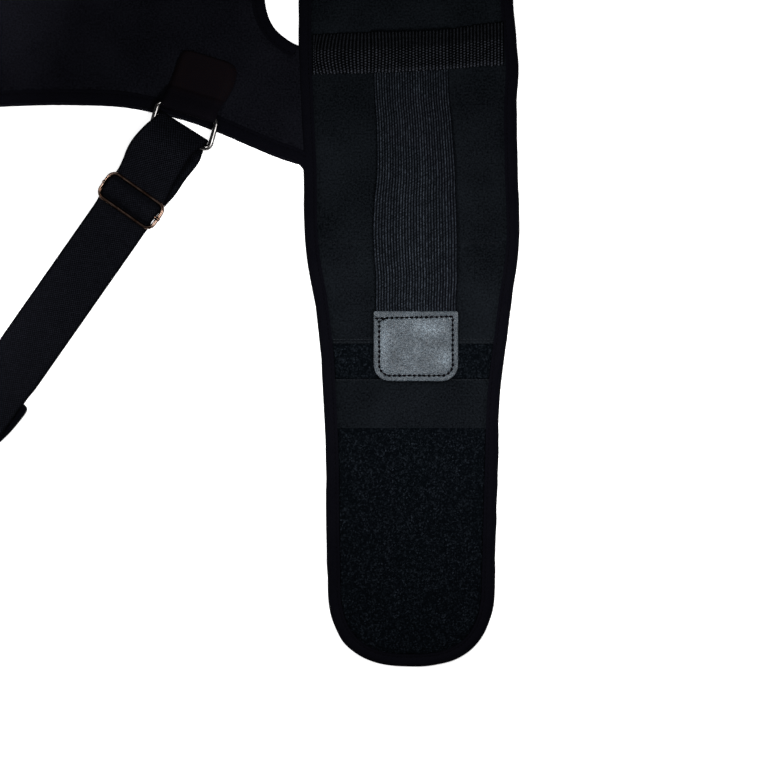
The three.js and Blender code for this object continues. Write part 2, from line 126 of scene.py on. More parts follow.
def knotPath(knots, count):
    # smooth curve through the knots, evenly spaced by length
    at = pathLength(knots)
    fine = np.linspace(0, at[-1], fineCount)
    return evenCount(np.stack([smoothCurve(fine, at, column) for column in knots.T], axis=1), count)


def softPath(path, reach, closed):
    # bell-weighted running mean along the path, which rounds its corners
    spreads = 3  # how far the bell is followed each way
    weight = np.exp(-0.5 * np.linspace(-spreads, spreads, 2 * spreads * reach + 1) ** 2)
    weight = weight / weight.sum()
    mode = {"mode": "wrap"} if closed else {"mode": "reflect", "reflect_type": "odd"}
    wide = np.pad(path, ((spreads * reach, spreads * reach), (0, 0)), **mode)
    return np.stack([np.convolve(column, weight, "valid") for column in wide.T], axis=1)


def leftOf(path, closed):
    # unit vectors along the path and to its left
    along = np.roll(path, -1, 0) - np.roll(path, 1, 0) if closed else np.gradient(path, axis=0)
    along = along / np.linalg.norm(along, axis=1, keepdims=True)
    return along, np.stack([-along[:, 1], along[:, 0]], axis=1)


def turned(x, y, degrees):
    # the point (x, y) turned about the origin
    c, s = math.cos(math.radians(degrees)), math.sin(math.radians(degrees))
    return c * x - s * y, s * x + c * y


# Meshes from grids of points

def gridFaces(rows, cols, closeRows=False, closeCols=False):
    # one quad between each grid point and its next neighbours
    r = np.arange(rows if closeRows else rows - 1)[:, None]
    c = np.arange(cols if closeCols else cols - 1)[None, :]
    nextR, nextC = (r + 1) % rows, (c + 1) % cols
    quads = [r * cols + c, r * cols + nextC, nextR * cols + nextC, nextR * cols + c]
    return np.stack(quads, axis=-1).reshape(-1, 4)


def fanStrip(full, spots, sparse):
    # triangles, their last corner given twice, between a whole row and a row with only some of its columns
    owner = sparse[np.searchsorted(spots, np.arange(len(full) - 1), side="right") - 1]
    fans = np.stack([full[:-1], full[1:], owner, owner], axis=1)
    gaps = np.stack([full[spots[1:]], sparse[1:], sparse[:-1], sparse[:-1]], axis=1)
    return np.concatenate([fans, gaps])


def slab(top, bottom, thin=footThin):
    # top grid, a wall round the rim, and the bottom grid turned over, thinned to a few columns inside the rim
    rows, cols = top.shape[:2]
    count = rows * cols
    index = np.arange(count).reshape(rows, cols)
    rim = np.concatenate([index[0, :-1], index[:-1, -1], index[-1, :0:-1], index[:0:-1, 0]])
    after = np.roll(rim, -1)
    wall = np.stack([after, rim, rim + count, after + count], axis=1)
    spots = np.unique(np.append(np.arange(0, cols, thin), cols - 1))
    under = index[1:-1, spots] + count
    middle = under.ravel()[gridFaces(*under.shape)]
    foot = [fanStrip(index[0] + count, spots, under[0])[:, ::-1], middle[:, ::-1],
            fanStrip(index[-1] + count, spots, under[-1])]
    points = np.concatenate([top.reshape(-1, 3), bottom.reshape(-1, 3)])
    return points, np.concatenate([gridFaces(rows, cols), *foot, wall])


def tube(rings, closed):
    # rings of points joined along their path; an open end is zipped shut across the ring
    rows, cols = rings.shape[:2]
    faces = [gridFaces(rows, cols, closeRows=closed, closeCols=True)]
    if not closed:
        k = np.arange(cols // 2 - 1)
        cap = np.stack([k, k + 1, cols - 2 - k, cols - 1 - k], axis=1)
        faces += [cap[:, ::-1], cap + (rows - 1) * cols]
    return rings.reshape(-1, 3), np.concatenate(faces)


def copies(points, faces):
    # the same small mesh many times: points has one block per copy
    count, size = points.shape[:2]
    steps = np.arange(count)[:, None, None] * size
    return points.reshape(-1, 3), (faces[None] + steps).reshape(-1, 4)


def wireRings(path, closed, radius, ringSides=14):
    # circles standing across a level path
    left = leftOf(path, closed)[1]
    angle = 2 * np.pi * np.arange(ringSides) / ringSides
    flat = path[:, None, :] + left[:, None, :] * (radius * np.cos(angle))[None, :, None]
    z = np.broadcast_to((radius * np.sin(angle))[None, :, None], (*flat.shape[:2], 1))
    return np.concatenate([flat, z], axis=2)


def joined(meshes):
    # several meshes as one: each one's faces count on from the points before it
    points, faces, start = [], [], 0
    for p, f in meshes:
        points.append(p)
        faces.append(f + start)
        start += len(p)
    return np.concatenate(points), np.concatenate(faces)


def addPiece(name, points, faces, finish, nodes=(), uv=None, shade=None, sharp=creased):
    # mesh from points and quads, dressed, on the one body and in place of its solids; the sum of the
    # corners' triple products says which way the faces point
    points = np.asarray(points, float)
    a, b, c, d = (points[faces[:, k]] for k in range(4))
    volume = (np.cross(b - a, c - a) * a).sum() + (np.cross(c - a, d - a) * a).sum()
    if volume < 0:  # a mirrored grid comes out inside out
        faces = faces[:, ::-1]
    used, faces = np.unique(faces, return_inverse=True)  # leaves out points that no face has
    faces = faces.reshape(-1, 4)
    corner = faces != np.roll(faces, -1, axis=1)  # a triangle gives one corner twice
    loops, sizes = faces[corner].astype(np.int32), corner.sum(axis=1)
    mesh = bpy.data.meshes.new(name)
    mesh.vertices.add(len(used))
    mesh.vertices.foreach_set("co", points[used].astype(np.float32).ravel())
    mesh.loops.add(len(loops))
    mesh.loops.foreach_set("vertex_index", loops)
    mesh.polygons.add(len(faces))
    mesh.polygons.foreach_set("loop_start", (np.cumsum(sizes) - sizes).astype(np.int32))
    mesh.polygons.foreach_set("use_smooth", np.ones(len(faces), bool))
    if uv is not None:
        layer = mesh.uv_layers.new(name="surface")
        layer.data.foreach_set("uv", np.asarray(uv, np.float32)[used][loops].ravel())
    if shade is not None:
        values = mesh.attributes.new("shade", "FLOAT", "POINT")
        values.data.foreach_set("value", np.asarray(shade, np.float32).ravel()[used])
    mesh.update(calc_edges=True)
    mesh.set_sharp_from_angle(angle=math.radians(sharp))
    mesh.materials.append(finish)
    piece = bpy.data.objects.new(name, mesh)
    bpy.context.scene.collection.objects.link(piece)
    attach(piece, "root")
    if nodes:
        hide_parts(*nodes)
    return piece


def points3(x, y, z):
    # points from three arrays that broadcast together
    return np.stack(np.broadcast_arrays(x, y, z), axis=-1)


def addSlab(name, node, x, y, top, foot, finish, shade=None, thin=footThin,
            sharp=smooth):
    # piece between two heights over one grid; the shade is the top's, and the foot has none
    points, faces = slab(points3(x, y, top), points3(x, y, foot), thin)
    if shade is not None:
        shade = np.concatenate([shade.ravel(), np.zeros(shade.size)])
    return addPiece(name, points, faces, finish, [node], shade=shade, sharp=sharp)


# Finishes

def tint(red, green, blue):
    # display values of 0 to 255 as a linear colour
    share = np.array([red, green, blue]) / 255
    linear = np.where(share <= 0.04045, share / 12.92, ((share + 0.055) / 1.055) ** 2.4)
    return (*linear.tolist(), 1.0)


def addNode(tree, kind, inputs=None, **settings):
    # one node with its settings; an input that is a socket is linked, any other is set
    made = tree.nodes.new(kind)
    for key, value in settings.items():
        setattr(made, key, value)
    for key, value in (inputs or {}).items():
        if isinstance(value, bpy.types.NodeSocket):
            tree.links.new(value, made.inputs[key])
        else:
            made.inputs[key].default_value = value
    return made


def math2(tree, operation, first, second):
    # one operation on two values or sockets
    return addNode(tree, "ShaderNodeMath", {0: first, 1: second}, operation=operation).outputs[0]


def plus(tree, first, second):
    # sum of two values or sockets
    return math2(tree, "ADD", first, second)


def times(tree, first, second):
    # product of two values or sockets
    return math2(tree, "MULTIPLY", first, second)


def texture(tree, kind, size, **values):
    # pattern on the piece's own coordinates, one cell to each size
    own = addNode(tree, "ShaderNodeTexCoord").outputs["Object"]
    return addNode(tree, f"ShaderNodeTex{kind}", {"Vector": own, "Scale": 1 / size, **values}).outputs


def noise(tree, size, detail):
    # soft random value from 0 to 1
    return texture(tree, "Noise", size, Detail=detail)["Fac"]


def meshShade(tree):
    # the shade that the piece's own points carry
    return addNode(tree, "ShaderNodeAttribute", attribute_name="shade").outputs["Fac"]


def stretched(tree, value, low, high, toLow=0.0, toHigh=1.0):
    # straight line that takes low and high to two new values, held level past them
    ends = {"From Min": low, "From Max": high, "To Min": toLow, "To Max": toHigh}
    return addNode(tree, "ShaderNodeMapRange", {"Value": value, **ends}).outputs["Result"]


def toneRamp(tree, tone, look, low, high):
    # the look's colours in turn: the first where the tone is low, the last where it is high
    colours = [look[key] for key in ("dark", "light", "sheenAndBrown") if key in look]
    ramp = addNode(tree, "ShaderNodeValToRGB", {"Fac": tone})
    stops = ramp.color_ramp.elements
    for spot in np.linspace(low, high, len(colours))[1:-1]:
        stops.new(spot)
    stops[0].position, stops[-1].position = low, high
    for stop, colour in zip(stops, colours):
        stop.color = colour
    return ramp.outputs["Color"]


def setInputs(node, values):
    # constant value for each socket that is named
    for key, value in values.items():
        node.inputs[key].default_value = value


def newFinish(name, pattern, look):
    # material from a pattern: its tone, between two ends, picks the colour; its height, times the look's
    # relief, tilts the normal; it may set the roughness too
    material = bpy.data.materials.new(name)
    material.use_nodes = True
    tree = material.node_tree
    shader = tree.nodes["Principled BSDF"]
    sockets = {"rough": "Roughness", "gloss": "Specular IOR Level", "metal": "Metallic"}
    setInputs(shader, {socket: look[key] for key, socket in sockets.items() if key in look})
    made = pattern(tree, look)
    links = {"Base Color": toneRamp(tree, made["tone"], look, *made.get("ends", (0.0, 1.0)))}
    if "rough" in made:
        links["Roughness"] = made["rough"]
    if "height" in made:
        relief = {"Height": made["height"], "Distance": look["relief"], "Strength": 1.0}
        links["Normal"] = addNode(tree, "ShaderNodeBump", relief).outputs["Normal"]
    for socket, value in links.items():
        tree.links.new(value, shader.inputs[socket])
    return material


def fabric(tree, look):
    # speckled cloth: seven parts of fine grain to three of slow patches
    fine, slow = noise(tree, look["grain"], 3.0), noise(tree, look["patch"], 2.0)
    mixed = plus(tree, times(tree, fine, 0.7), times(tree, slow, 0.3))
    return {"tone": mixed, "ends": (0.34, 0.66), "height": fine}


def ribbed(tree, look):
    # yarn crests lit by a painted highlight: the mesh's own shade, sharpened by a power and broken up by fine
    # grain
    fine = noise(tree, look["grain"], 2.0)
    crest = math2(tree, "POWER", meshShade(tree), look["sharpness"])
    return {"tone": times(tree, crest, plus(tree, fine, 0.5)), "ends": (0.02, 1.0), "height": fine}


def woven(tree, look):
    # plain weave: the product of two cosines over the strap's own cells lifts every second crossing
    surface = addNode(tree, "ShaderNodeUVMap", uv_map="surface").outputs["UV"]
    cells = addNode(tree, "ShaderNodeSeparateXYZ", {0: surface}).outputs
    cosines = [math2(tree, "COSINE", times(tree, cells[k], math.pi), 0.0) for k in range(2)]
    lifted = plus(tree, times(tree, times(tree, *cosines), 0.5), 0.5)
    # painted highlight: the lifted crossings are lighter
    bright = times(tree, math2(tree, "POWER", lifted, look["sharpness"]), meshShade(tree))
    broken = times(tree, bright, plus(tree, noise(tree, look["grain"], 2.0), 0.5))
    return {"tone": broken, "ends": (0.05, 1.0), "height": lifted}


def looped(tree, look):
    # loops seen end on: small cells, each with a random tone, most of them dark after the power; the few
    # bright ones are painted glints
    cells = texture(tree, "Voronoi", look["grain"])
    tone = math2(tree, "POWER", cells["Color"], look["rarity"])
    tone = times(tree, tone, plus(tree, noise(tree, look["patch"], 2.0), 0.5))
    return {"tone": tone, "height": cells["Distance"]}


leather = {"grainEnds": (0.36, 0.64), "wornEnds": (0.35, 0.65), "wornTone": 0.15, "wornSmooth": 0.06,
           "sheenAndBrownSpread": 0.5, "sheenAndBrownTone": 0.25}


def pebbled(tree, look):
    # leather: fine noise makes the grain and slow noise the worn patches; the mesh's shade says where the top
    # colour goes, which also widens the grain's tones: painted sheen on the tab, the leaf's own brown on the
    # patch; worn places are smoother
    fine, slow, sheenAndBrown = noise(tree, look["grain"], 4.0), noise(tree, look["patch"], 3.0), meshShade(tree)
    grain = stretched(tree, fine, *leather["grainEnds"])
    worn = stretched(tree, slow, *leather["wornEnds"])
    spread = plus(tree, times(tree, sheenAndBrown, leather["sheenAndBrownSpread"]), look["contrast"])
    tone = plus(tree, times(tree, grain, spread), times(tree, worn, leather["wornTone"]))
    tone = plus(tree, tone, times(tree, sheenAndBrown, leather["sheenAndBrownTone"]))
    unworn, polished = look["rough"] + leather["wornSmooth"], look["rough"] - leather["wornSmooth"]
    rough = stretched(tree, worn, 0.0, 1.0, unworn, polished)
    height = math2(tree, "SUBTRACT", fine, texture(tree, "Voronoi", look["pebble"])["Distance"])
    return {"tone": tone, "rough": rough, "height": height}


def plated(tree, look):
    # wire: one cloudy noise sets both the metal's colour and its roughness
    cloud = noise(tree, look["patch"], 4.0)
    rough = stretched(tree, cloud, 0.0, 1.0, *look["roughness"])
    return {"tone": cloud, "ends": (0.35, 0.65), "rough": rough}


knitLook = {"grain": 1.2 * mm, "patch": 40 * mm, "relief": 0.12 * mm, "rough": 0.95, "gloss": 0.005}
threadLook = {"grain": 0.9 * mm, "patch": 9 * mm, "relief": 0.05 * mm, "rough": 0.7, "gloss": 0.02}
wireLook = {"patch": 6 * mm, "metal": 1.0, "roughness": (0.1, 0.28)}
clothFinish = newFinish("black knit over foam", fabric, {
    **knitLook, "dark": tint(2.6, 3.4, 4.6), "light": tint(14.4, 17.2, 20.4)})
panelFinish = newFinish("black knit of the back", fabric, {
    **knitLook, "dark": tint(3.2, 3.2, 5.2), "light": tint(14, 14.6, 19)})
tapeFinish = newFinish("edge tape", fabric, {
    "dark": tint(3.2, 3.2, 6), "light": tint(6, 6, 9.5), "grain": 0.7 * mm, "patch": 25 * mm,
    "relief": 0.1 * mm, "rough": 0.9, "gloss": 0.01})
pileFinish = newFinish("loop pile", looped, {
    "dark": tint(1.2, 2.4, 3.8), "light": tint(21.8, 26, 31), "grain": 0.85 * mm, "patch": 9 * mm,
    "rarity": 4.5, "relief": 0.2 * mm, "rough": 0.85, "gloss": 0.01})
strapFinish = newFinish("ribbed elastic", ribbed, {
    "dark": tint(2.4, 3, 4.4), "light": tint(42.8, 47.6, 54.6), "grain": 0.7 * mm, "relief": 0.1 * mm,
    "rough": 0.8, "gloss": 0.01, "sharpness": 1.9})
bandFinish = newFinish("ribbed band", ribbed, {
    "dark": tint(0.8, 1, 1.4), "light": tint(42, 44.3, 50), "grain": 0.8 * mm, "relief": 0.1 * mm,
    "rough": 0.75, "gloss": 0.01, "sharpness": 1.3})
webbingFinish = newFinish("woven webbing", woven, {
    "dark": tint(1.2, 1.4, 2.4), "light": tint(27, 28.3, 34.5), "grain": 0.9 * mm, "relief": 0.15 * mm,
    "rough": 0.8, "gloss": 0.01, "sharpness": 1.6})
threadFinish = newFinish("sewing thread", fabric, {
    **threadLook, "dark": tint(1.5, 1.5, 2.5), "light": tint(5, 5, 7), "grain": 0.4 * mm, "gloss": 0.01})
paleThreadFinish = newFinish("worn thread", fabric, {
    **threadLook, "dark": tint(12, 14, 16), "light": tint(28, 31, 35)})
seamThreadFinish = newFinish("thread of the cross seam", fabric, {
    **threadLook, "dark": tint(8, 9, 11), "light": tint(19, 21, 25)})
# the tab is black leatherette: its grey tints and its pale top colour are painted sheen
tabFinish = newFinish("black pebbled leatherette with painted sheen", pebbled, {
    "dark": tint(21, 26, 31), "light": tint(59, 66.5, 72.5), "sheenAndBrown": tint(96, 106, 113.5),
    "pebble": 1.3 * mm, "grain": 0.8 * mm, "patch": 12 * mm, "relief": 0.6 * mm, "rough": 0.5, "gloss": 0.35,
    "contrast": 0.47})
patchFinish = newFinish("brown-black leatherette", pebbled, {
    "dark": tint(5.2, 4.6, 7.4), "light": tint(7.6, 6, 8.6), "sheenAndBrown": tint(10.8, 6, 6.6),
    "pebble": 1.1 * mm, "grain": 0.7 * mm, "patch": 14 * mm, "relief": 0.1 * mm, "rough": 0.75, "gloss": 0.01,
    "contrast": 0.2})
hookFinish = newFinish("hook pad", fabric, {
    "dark": tint(10, 11, 13), "light": tint(20, 21, 24), "grain": 1.2 * mm, "patch": 20 * mm,
    "relief": 0.2 * mm, "rough": 0.7, "gloss": 0.1})
ringFinish = newFinish("bright plated wire", plated, {
    **wireLook, "dark": (0.06, 0.057, 0.055, 1), "light": (0.17, 0.165, 0.16, 1)})
# its warm tint is a painted reflection of brown surroundings
sliderFinish = newFinish("plated wire with painted warm reflections", plated, {
    **wireLook, "dark": (0.07, 0.038, 0.025, 1), "light": (0.14, 0.095, 0.075, 1)})
print("finishes made")


# Camera, floor and light

picture = {"x": 186.6 * mm, "y": -288.6 * mm, "width": 497.2 * mm, "level": 4 * mm, "distance": 1250 * mm,
           "sensor": 36}
softbox = {"x": 222 * mm, "y": -262 * mm, "z": 255 * mm, "size": 170 * mm, "power": 1.52}
window = {"towards": (0.36, -0.24, -1.0), "spread": 9, "power": 1.1}  # from the upper left
fills = {  # the same light over what lies outside the picture
    "spots": mm * np.array([(215, 290, 290), (-185, -215, 290), (-185, 215, 290), (-110, 0, 190)]),
    "size": 120 * mm, "spread": (80, 58, 58, 58), "power": (1.0, 0.5, 0.5, 0.2)}
room = {"Color": (0.93, 0.95, 1.0, 1), "Strength": 0.08}
ground = {"half": 40.0, "level": -0.2 * mm}
groundLook = {  # lit from below, like a light table
    "Base Color": (0.93, 0.93, 0.93, 1), "Roughness": 0.9, "Specular IOR Level": 0.1,
    "Emission Color": (1, 1, 1, 1), "Emission Strength": 0.62}


def addLight(name, kind, power):
    # lamp that the camera doesn't see
    lamp = bpy.data.lights.new(name, kind)
    lamp.energy = power
    light = bpy.data.objects.new(name, lamp)
    light.visible_camera = False
    bpy.context.scene.collection.objects.link(light)
    return light


def buildStage():
    # camera straight above the picture: its lens is the sensor times the distance over the picture's width
    camera = bpy.data.objects.new("camera", bpy.data.cameras.new("camera"))
    camera.location = (picture["x"], picture["y"], picture["level"] + picture["distance"])
    camera.data.sensor_width = picture["sensor"]
    camera.data.lens = picture["sensor"] * picture["distance"] / picture["width"]
    near = addLight("softbox", "AREA", softbox["power"])
    near.data.size = softbox["size"]
    near.location = (softbox["x"], softbox["y"], softbox["z"])
    for number, (spot, spread, power) in enumerate(zip(fills["spots"], fills["spread"], fills["power"])):
        fill = addLight(f"fill_{number}", "AREA", power)
        fill.data.size = fills["size"]
        fill.data.spread = math.radians(spread)
        fill.location = spot
    far = addLight("window", "SUN", window["power"])
    far.data.angle = math.radians(window["spread"])
    far.rotation_euler = Vector(window["towards"]).to_track_quat("-Z", "Y").to_euler()
    mesh = bpy.data.meshes.new("floor")
    corners = [(x * ground["half"], y * ground["half"], ground["level"])
               for x, y in ((-1, -1), (1, -1), (1, 1), (-1, 1))]
    mesh.from_pydata(corners, [], [(0, 1, 2, 3)])
    material = bpy.data.materials.new("white floor")
    material.use_nodes = True
    setInputs(material.node_tree.nodes["Principled BSDF"], groundLook)
    mesh.materials.append(material)
    floor = bpy.data.objects.new("floor", mesh)
    scene = bpy.context.scene
    for thing in (camera, floor):
        scene.collection.objects.link(thing)
    world = bpy.data.worlds.new("room")
    world.use_nodes = True
    setInputs(world.node_tree.nodes["Background"], room)
    scene.world, scene.camera = world, camera
    scene.view_settings.view_transform = "Standard"


buildStage()
print("camera, floor and light made")


# Waist belt: distance from the midline, top edge and foot edge, as X

belt = {
    "rows": mm * np.array([
        (0, 131.0, 270.4), (39, 131.0, 270.4), (62, 131.0, 272.4), (85, 131.4, 274.0), (104, 132.2, 272.9),
        (149, 134.4, 273.2), (195, 135.5, 274.3), (208, 136.8, 273.4), (234, 141.4, 269.4),
        (260, 144.6, 266.2), (299, 147.2, 261.8), (338, 148.8, 260.6), (377, 149.2, 259.4),
        (416, 149.8, 258.4)]),
    "endDepth": 56 * mm, "endPower": 2.55, "endSquarer": 5.9, "step": 2.4 * mm, "columns": 96,
    "leastStep": 0.4, "tipTurn": 0.49, "tipRows": 1.6,  # shares of a step, a half turn and the even rows
    "seam": 199.6 * mm, "seamGap": 0.01 * mm, "ridgeBefore": 2.6 * mm, "edgeCount": 300,
    "groove": (0.7 * mm, 1.2 * mm), "ridge": (0.3 * mm, 1.3 * mm),  # height and reach
    "endCount": 120, "thin": 4, "tapeWander": 0.3 * mm, "tapeSeed": 5,
}
cloth = {
    "height": 3.6 * mm, "padHeight": 4.6 * mm, "inset": 1.5 * mm, "lip": 8.5 * mm, "underLip": 2.3 * mm,
    "overLip": 1.25 * mm, "foot": 0.1 * mm, "shoulder": 3.5 * mm, "early": 0.5 * mm,
    "swell": (0.22 * mm, 26 * mm, 11), "swellFade": 8 * mm,  # swells: height, cell and seed
}
hookPad = {  # also cuts the recess that it sits in
    "from": 330 * mm, "inset": 16 * mm, "thick": 1.2 * mm, "step": 1.0 * mm, "columns": 70, "hook": 0.7 * mm,
    "lowest": 0.05 * mm, "around": 1.5 * mm, "above": 0.3 * mm,
}
lastAlong = belt["rows"][-1, 0]
pastEnd = 1.0  # farther out than the belt's end


def beltEdges(along, margin=0.0):
    # long edges through the rows; past the last row the width closes as a superellipse, squarer when set in
    top, foot = (smoothCurve(along, belt["rows"][:, 0], belt["rows"][:, k]) for k in (1, 2))
    past = np.clip((along - lastAlong) / (belt["endDepth"] - margin), 0, 1)
    power = belt["endPower"] * (1 + belt["endSquarer"] * margin)
    close = (1 - past ** power) ** (1 / power)
    centre, half = (top + foot) / 2, ((foot - top) / 2 - margin) * close
    return centre - half, centre + half


def beltInside(x, along):
    # distance in from the belt's edge; past the last row it is the superellipse's own measure
    top, foot = beltEdges(np.minimum(along, lastAlong))
    centre, half = (top + foot) / 2, (foot - top) / 2
    past = np.clip(along - lastAlong, 0, None) / belt["endDepth"]
    power = belt["endPower"]
    reach = ((np.abs(x - centre) / half) ** power + past ** power) ** (1 / power)
    return np.where(along > lastAlong, (1 - reach) * half, np.minimum(x - top, foot - x))


def beltGrid(start, stop, margin, step, columns):
    # rows across the belt, a step apart; past the last row they crowd as a sine that stops short of the tip
    along = np.arange(start, min(stop, lastAlong) - belt["leastStep"] * step, step)
    if stop > lastAlong:
        turn = np.linspace(0, belt["tipTurn"] * np.pi, int(belt["tipRows"] * belt["endDepth"] / step))
        along = np.concatenate([along, lastAlong + (belt["endDepth"] - margin) * np.sin(turn)])
    else:
        along = np.append(along, stop)
    top, foot = beltEdges(along, margin)
    share = np.linspace(0, 1, columns)[None, :]
    x = top[:, None] + (foot - top)[:, None] * share
    return x, np.broadcast_to(along[:, None], x.shape)


def clothTop(inside, height):
    # low under the tape, then up a soft shoulder to the full height
    share = rise(inside, cloth["lip"] - cloth["early"], cloth["shoulder"])
    return cloth["underLip"] + (height - cloth["underLip"]) * share


def clothFoot(inside):
    # high over the tape's lower half, then down a soft shoulder to the table
    share = rise(inside, cloth["lip"], cloth["shoulder"])
    return cloth["overLip"] + (cloth["foot"] - cloth["overLip"]) * share


def clothSwell(x, y, inside, swell):
    # slow random waves that die out towards the tape
    return rise(inside, cloth["lip"], cloth["swellFade"]) * waves(x, y, *swell)


def beltCloth(name, node, x, y, along, hooks=False):
    # soft slab with slow waves, a groove and a ridge at the cross seam, and a recess where the hook pad sits
    inside = beltInside(x, along)
    top = clothTop(inside, cloth["height"]) + clothSwell(x, y, inside, cloth["swell"])
    seam = along - belt["seam"]
    top = top - bell(seam, *belt["groove"]) + bell(seam + belt["ridgeBefore"], *belt["ridge"])
    foot = clothFoot(inside)
    if hooks:
        held = (along > hookPad["from"] - hookPad["around"]) & (inside > hookPad["inset"] - hookPad["around"])
        foot = np.where(held, hookPad["thick"] + hookPad["above"], foot)
    thin = 1 if hooks else belt["thin"]  # the recess needs every column
    piece = addSlab(name, node, x, y, top, foot, clothFinish, thin=thin, sharp=creased)


def buildBeltCloth():
    # the middle with its mirror image, then each end
    shape = cloth["inset"], belt["step"], belt["columns"]
    x, along = beltGrid(0, belt["seam"] - belt["seamGap"], *shape)
    x, y = np.concatenate([x[:0:-1], x]), np.concatenate([-along[:0:-1], along])
    beltCloth("belt_back_cloth", "belt_back", x, y, np.abs(y))
    x, along = beltGrid(belt["seam"] + belt["seamGap"], pastEnd, *shape)
    for side, sign in sides.items():
        beltCloth(f"belt_end_cloth_{side}", f"belt_end_{side}", x, sign * along, along, side == "right")


buildBeltCloth()


# Folded edge tape and its row of stitches

tape = {
    "thick": 1.0 * mm, "fine": 1 * mm, "softness": 3, "step": 1.5 * mm, "pucker": 0.09 * mm,
    "wander": 0.25 * mm, "wanderCell": 11 * mm, "endCalm": 8 * mm, "outerReach": 5 * mm,
    "stitchIn": 6.4 * mm, "stitchPitch": 3.2 * mm, "stitchLong": 2.1 * mm, "stitchWide": 0.55 * mm,
    "stitchSink": 0.16 * mm,
    # distance in from the edge and depth below the panel's top, along the upper half of the fold
    "upper": mm * np.array([(8.35, 0.45), (7.6, 0.40), (6.9, 0.42), (6.4, 0.62), (5.9, 0.42), (4.6, 0.20),
                            (3.2, 0.14), (1.9, 0.36), (0.95, 0.95)]),
    # and height above the table along the lower half
    "lower": mm * np.array([(0.5, 1.85), (0.95, 1.05), (1.9, 0.70), (3.5, 0.62), (8.35, 0.62)]),
}
stitch = {"rings": 4, "sides": 6, "taper": 0.55, "arch": 0.35, "dip": 0.25, "lookAhead": 0.125}
tapeStitches = []  # spots, headings and level of each tape's row


def tapeProfile(height):
    # the fold's middle line, moved out and in by half the tape's thickness
    upper = np.stack([tape["upper"][:, 0], height - tape["upper"][:, 1]], axis=1)
    line = np.concatenate([upper, tape["lower"]])
    off = leftOf(line, closed=False)[1] * tape["thick"] / 2
    return np.concatenate([line - off, (line + off)[::-1]])


def edgeTape(name, node, path, height, seed, closed=False, wander=tape["wander"], mitre=0.0):
    # the fold's profile carried round the edge; the outer part wanders a little and puckers at each stitch;
    # a mitred end runs on by that share of the distance in from the edge
    path = softPath(evenPath(path, tape["fine"]), tape["softness"], closed)
    path = evenPath(np.concatenate([path, path[:1]]) if closed else path, tape["step"])
    path = path[:-1] if closed else path
    along, left = leftOf(path, closed)
    profile = tapeProfile(height)
    travel = pathLength(path)
    fromEnd = np.minimum(travel, travel[-1] - travel)
    ends = np.ones(len(path)) if closed else smoothStep(fromEnd / tape["endCalm"])
    sway = ends * waves(travel, travel * 0, wander, tape["wanderCell"], seed)
    pucker = tape["pucker"] * np.cos(2 * np.pi * travel / tape["stitchPitch"])
    outer = smoothStep(1 - profile[:, 0] / tape["outerReach"])
    upper = smoothStep(profile[:, 1] / height)
    inset = profile[None, :, 0] + sway[:, None] * outer[None, :]
    lifted = profile[None, :, 1] + pucker[:, None] * (upper * smoothStep(1 - outer))[None, :]
    onward = mitre * (1 - ends) * np.sign(travel - travel[-1] / 2)
    flat = path[:, None, :] + left[:, None, :] * inset[:, :, None]
    flat = flat + along[:, None, :] * (onward[:, None] * inset)[:, :, None]
    points, faces = tube(np.concatenate([flat, lifted[:, :, None]], axis=2), closed)
    addPiece(name, points, faces, tapeFinish, [node])
    at = (np.arange(int(travel[-1] / tape["stitchPitch"])) + 0.5) * tape["stitchPitch"]
    spots = pointsAt(at, travel, path + left * tape["stitchIn"])
    tapeStitches.append((spots, pointsAt(at, travel, along), height - tape["stitchSink"]))


def stitchRow(spots, heading, level, length, width):
    # thread lying along its heading: rings, thinner at both ends, on a shallow arch that dips there
    s = np.linspace(-1, 1, stitch["rings"])
    angle = 2 * np.pi * np.arange(stitch["sides"]) / stitch["sides"]
    radius = width / 2 * (1 - stitch["taper"] * s ** 4)
    arch = stitch["arch"] * width * (1 - s ** 2) - stitch["dip"] * width * s ** 4
    across = radius[:, None] * np.cos(angle)[None, :]
    up = arch[:, None] + radius[:, None] * np.sin(angle)[None, :]
    side = np.stack([-heading[:, 1], heading[:, 0]], axis=1)
    flat = (spots[:, None, None, :] + heading[:, None, None, :] * (s * length / 2)[None, :, None, None]
            + side[:, None, None, :] * across[None, :, :, None])
    z = np.broadcast_to(np.reshape(level, (-1, 1, 1)) + up[None], flat.shape[:3])
    points = np.concatenate([flat, z[..., None]], axis=3).reshape(len(spots), -1, 3)
    return copies(points, tube(np.zeros((stitch["rings"], stitch["sides"], 3)), closed=False)[1])


def stitchPiece(name, rows, finish, length, width, more=()):
    # one mesh of all the rows' stitches, and of any more meshes given: on the tab, a dark cord of painted
    # shadow
    spots, heading = (np.concatenate([row[k] for row in rows]) for k in (0, 1))
    level = np.concatenate([np.broadcast_to(row[2], len(row[0])) for row in rows])
    points, faces = joined([stitchRow(spots, heading, level, length, width), *more])
    return addPiece(name, points, faces, finish)


def spacedStitches(path, pitch, level):
    # middles of evenly spaced stitches on a polyline, each one headed for a point a little ahead
    length = pathLength(path)
    count = max(1, int(round(length[-1] / pitch)))
    at = (np.arange(count) + 0.5) * length[-1] / count
    spots = pointsAt(at, length, path)
    heading = pointsAt(at + pitch * stitch["lookAhead"], length, path) - spots
    return spots, heading / np.linalg.norm(heading, axis=1, keepdims=True), level


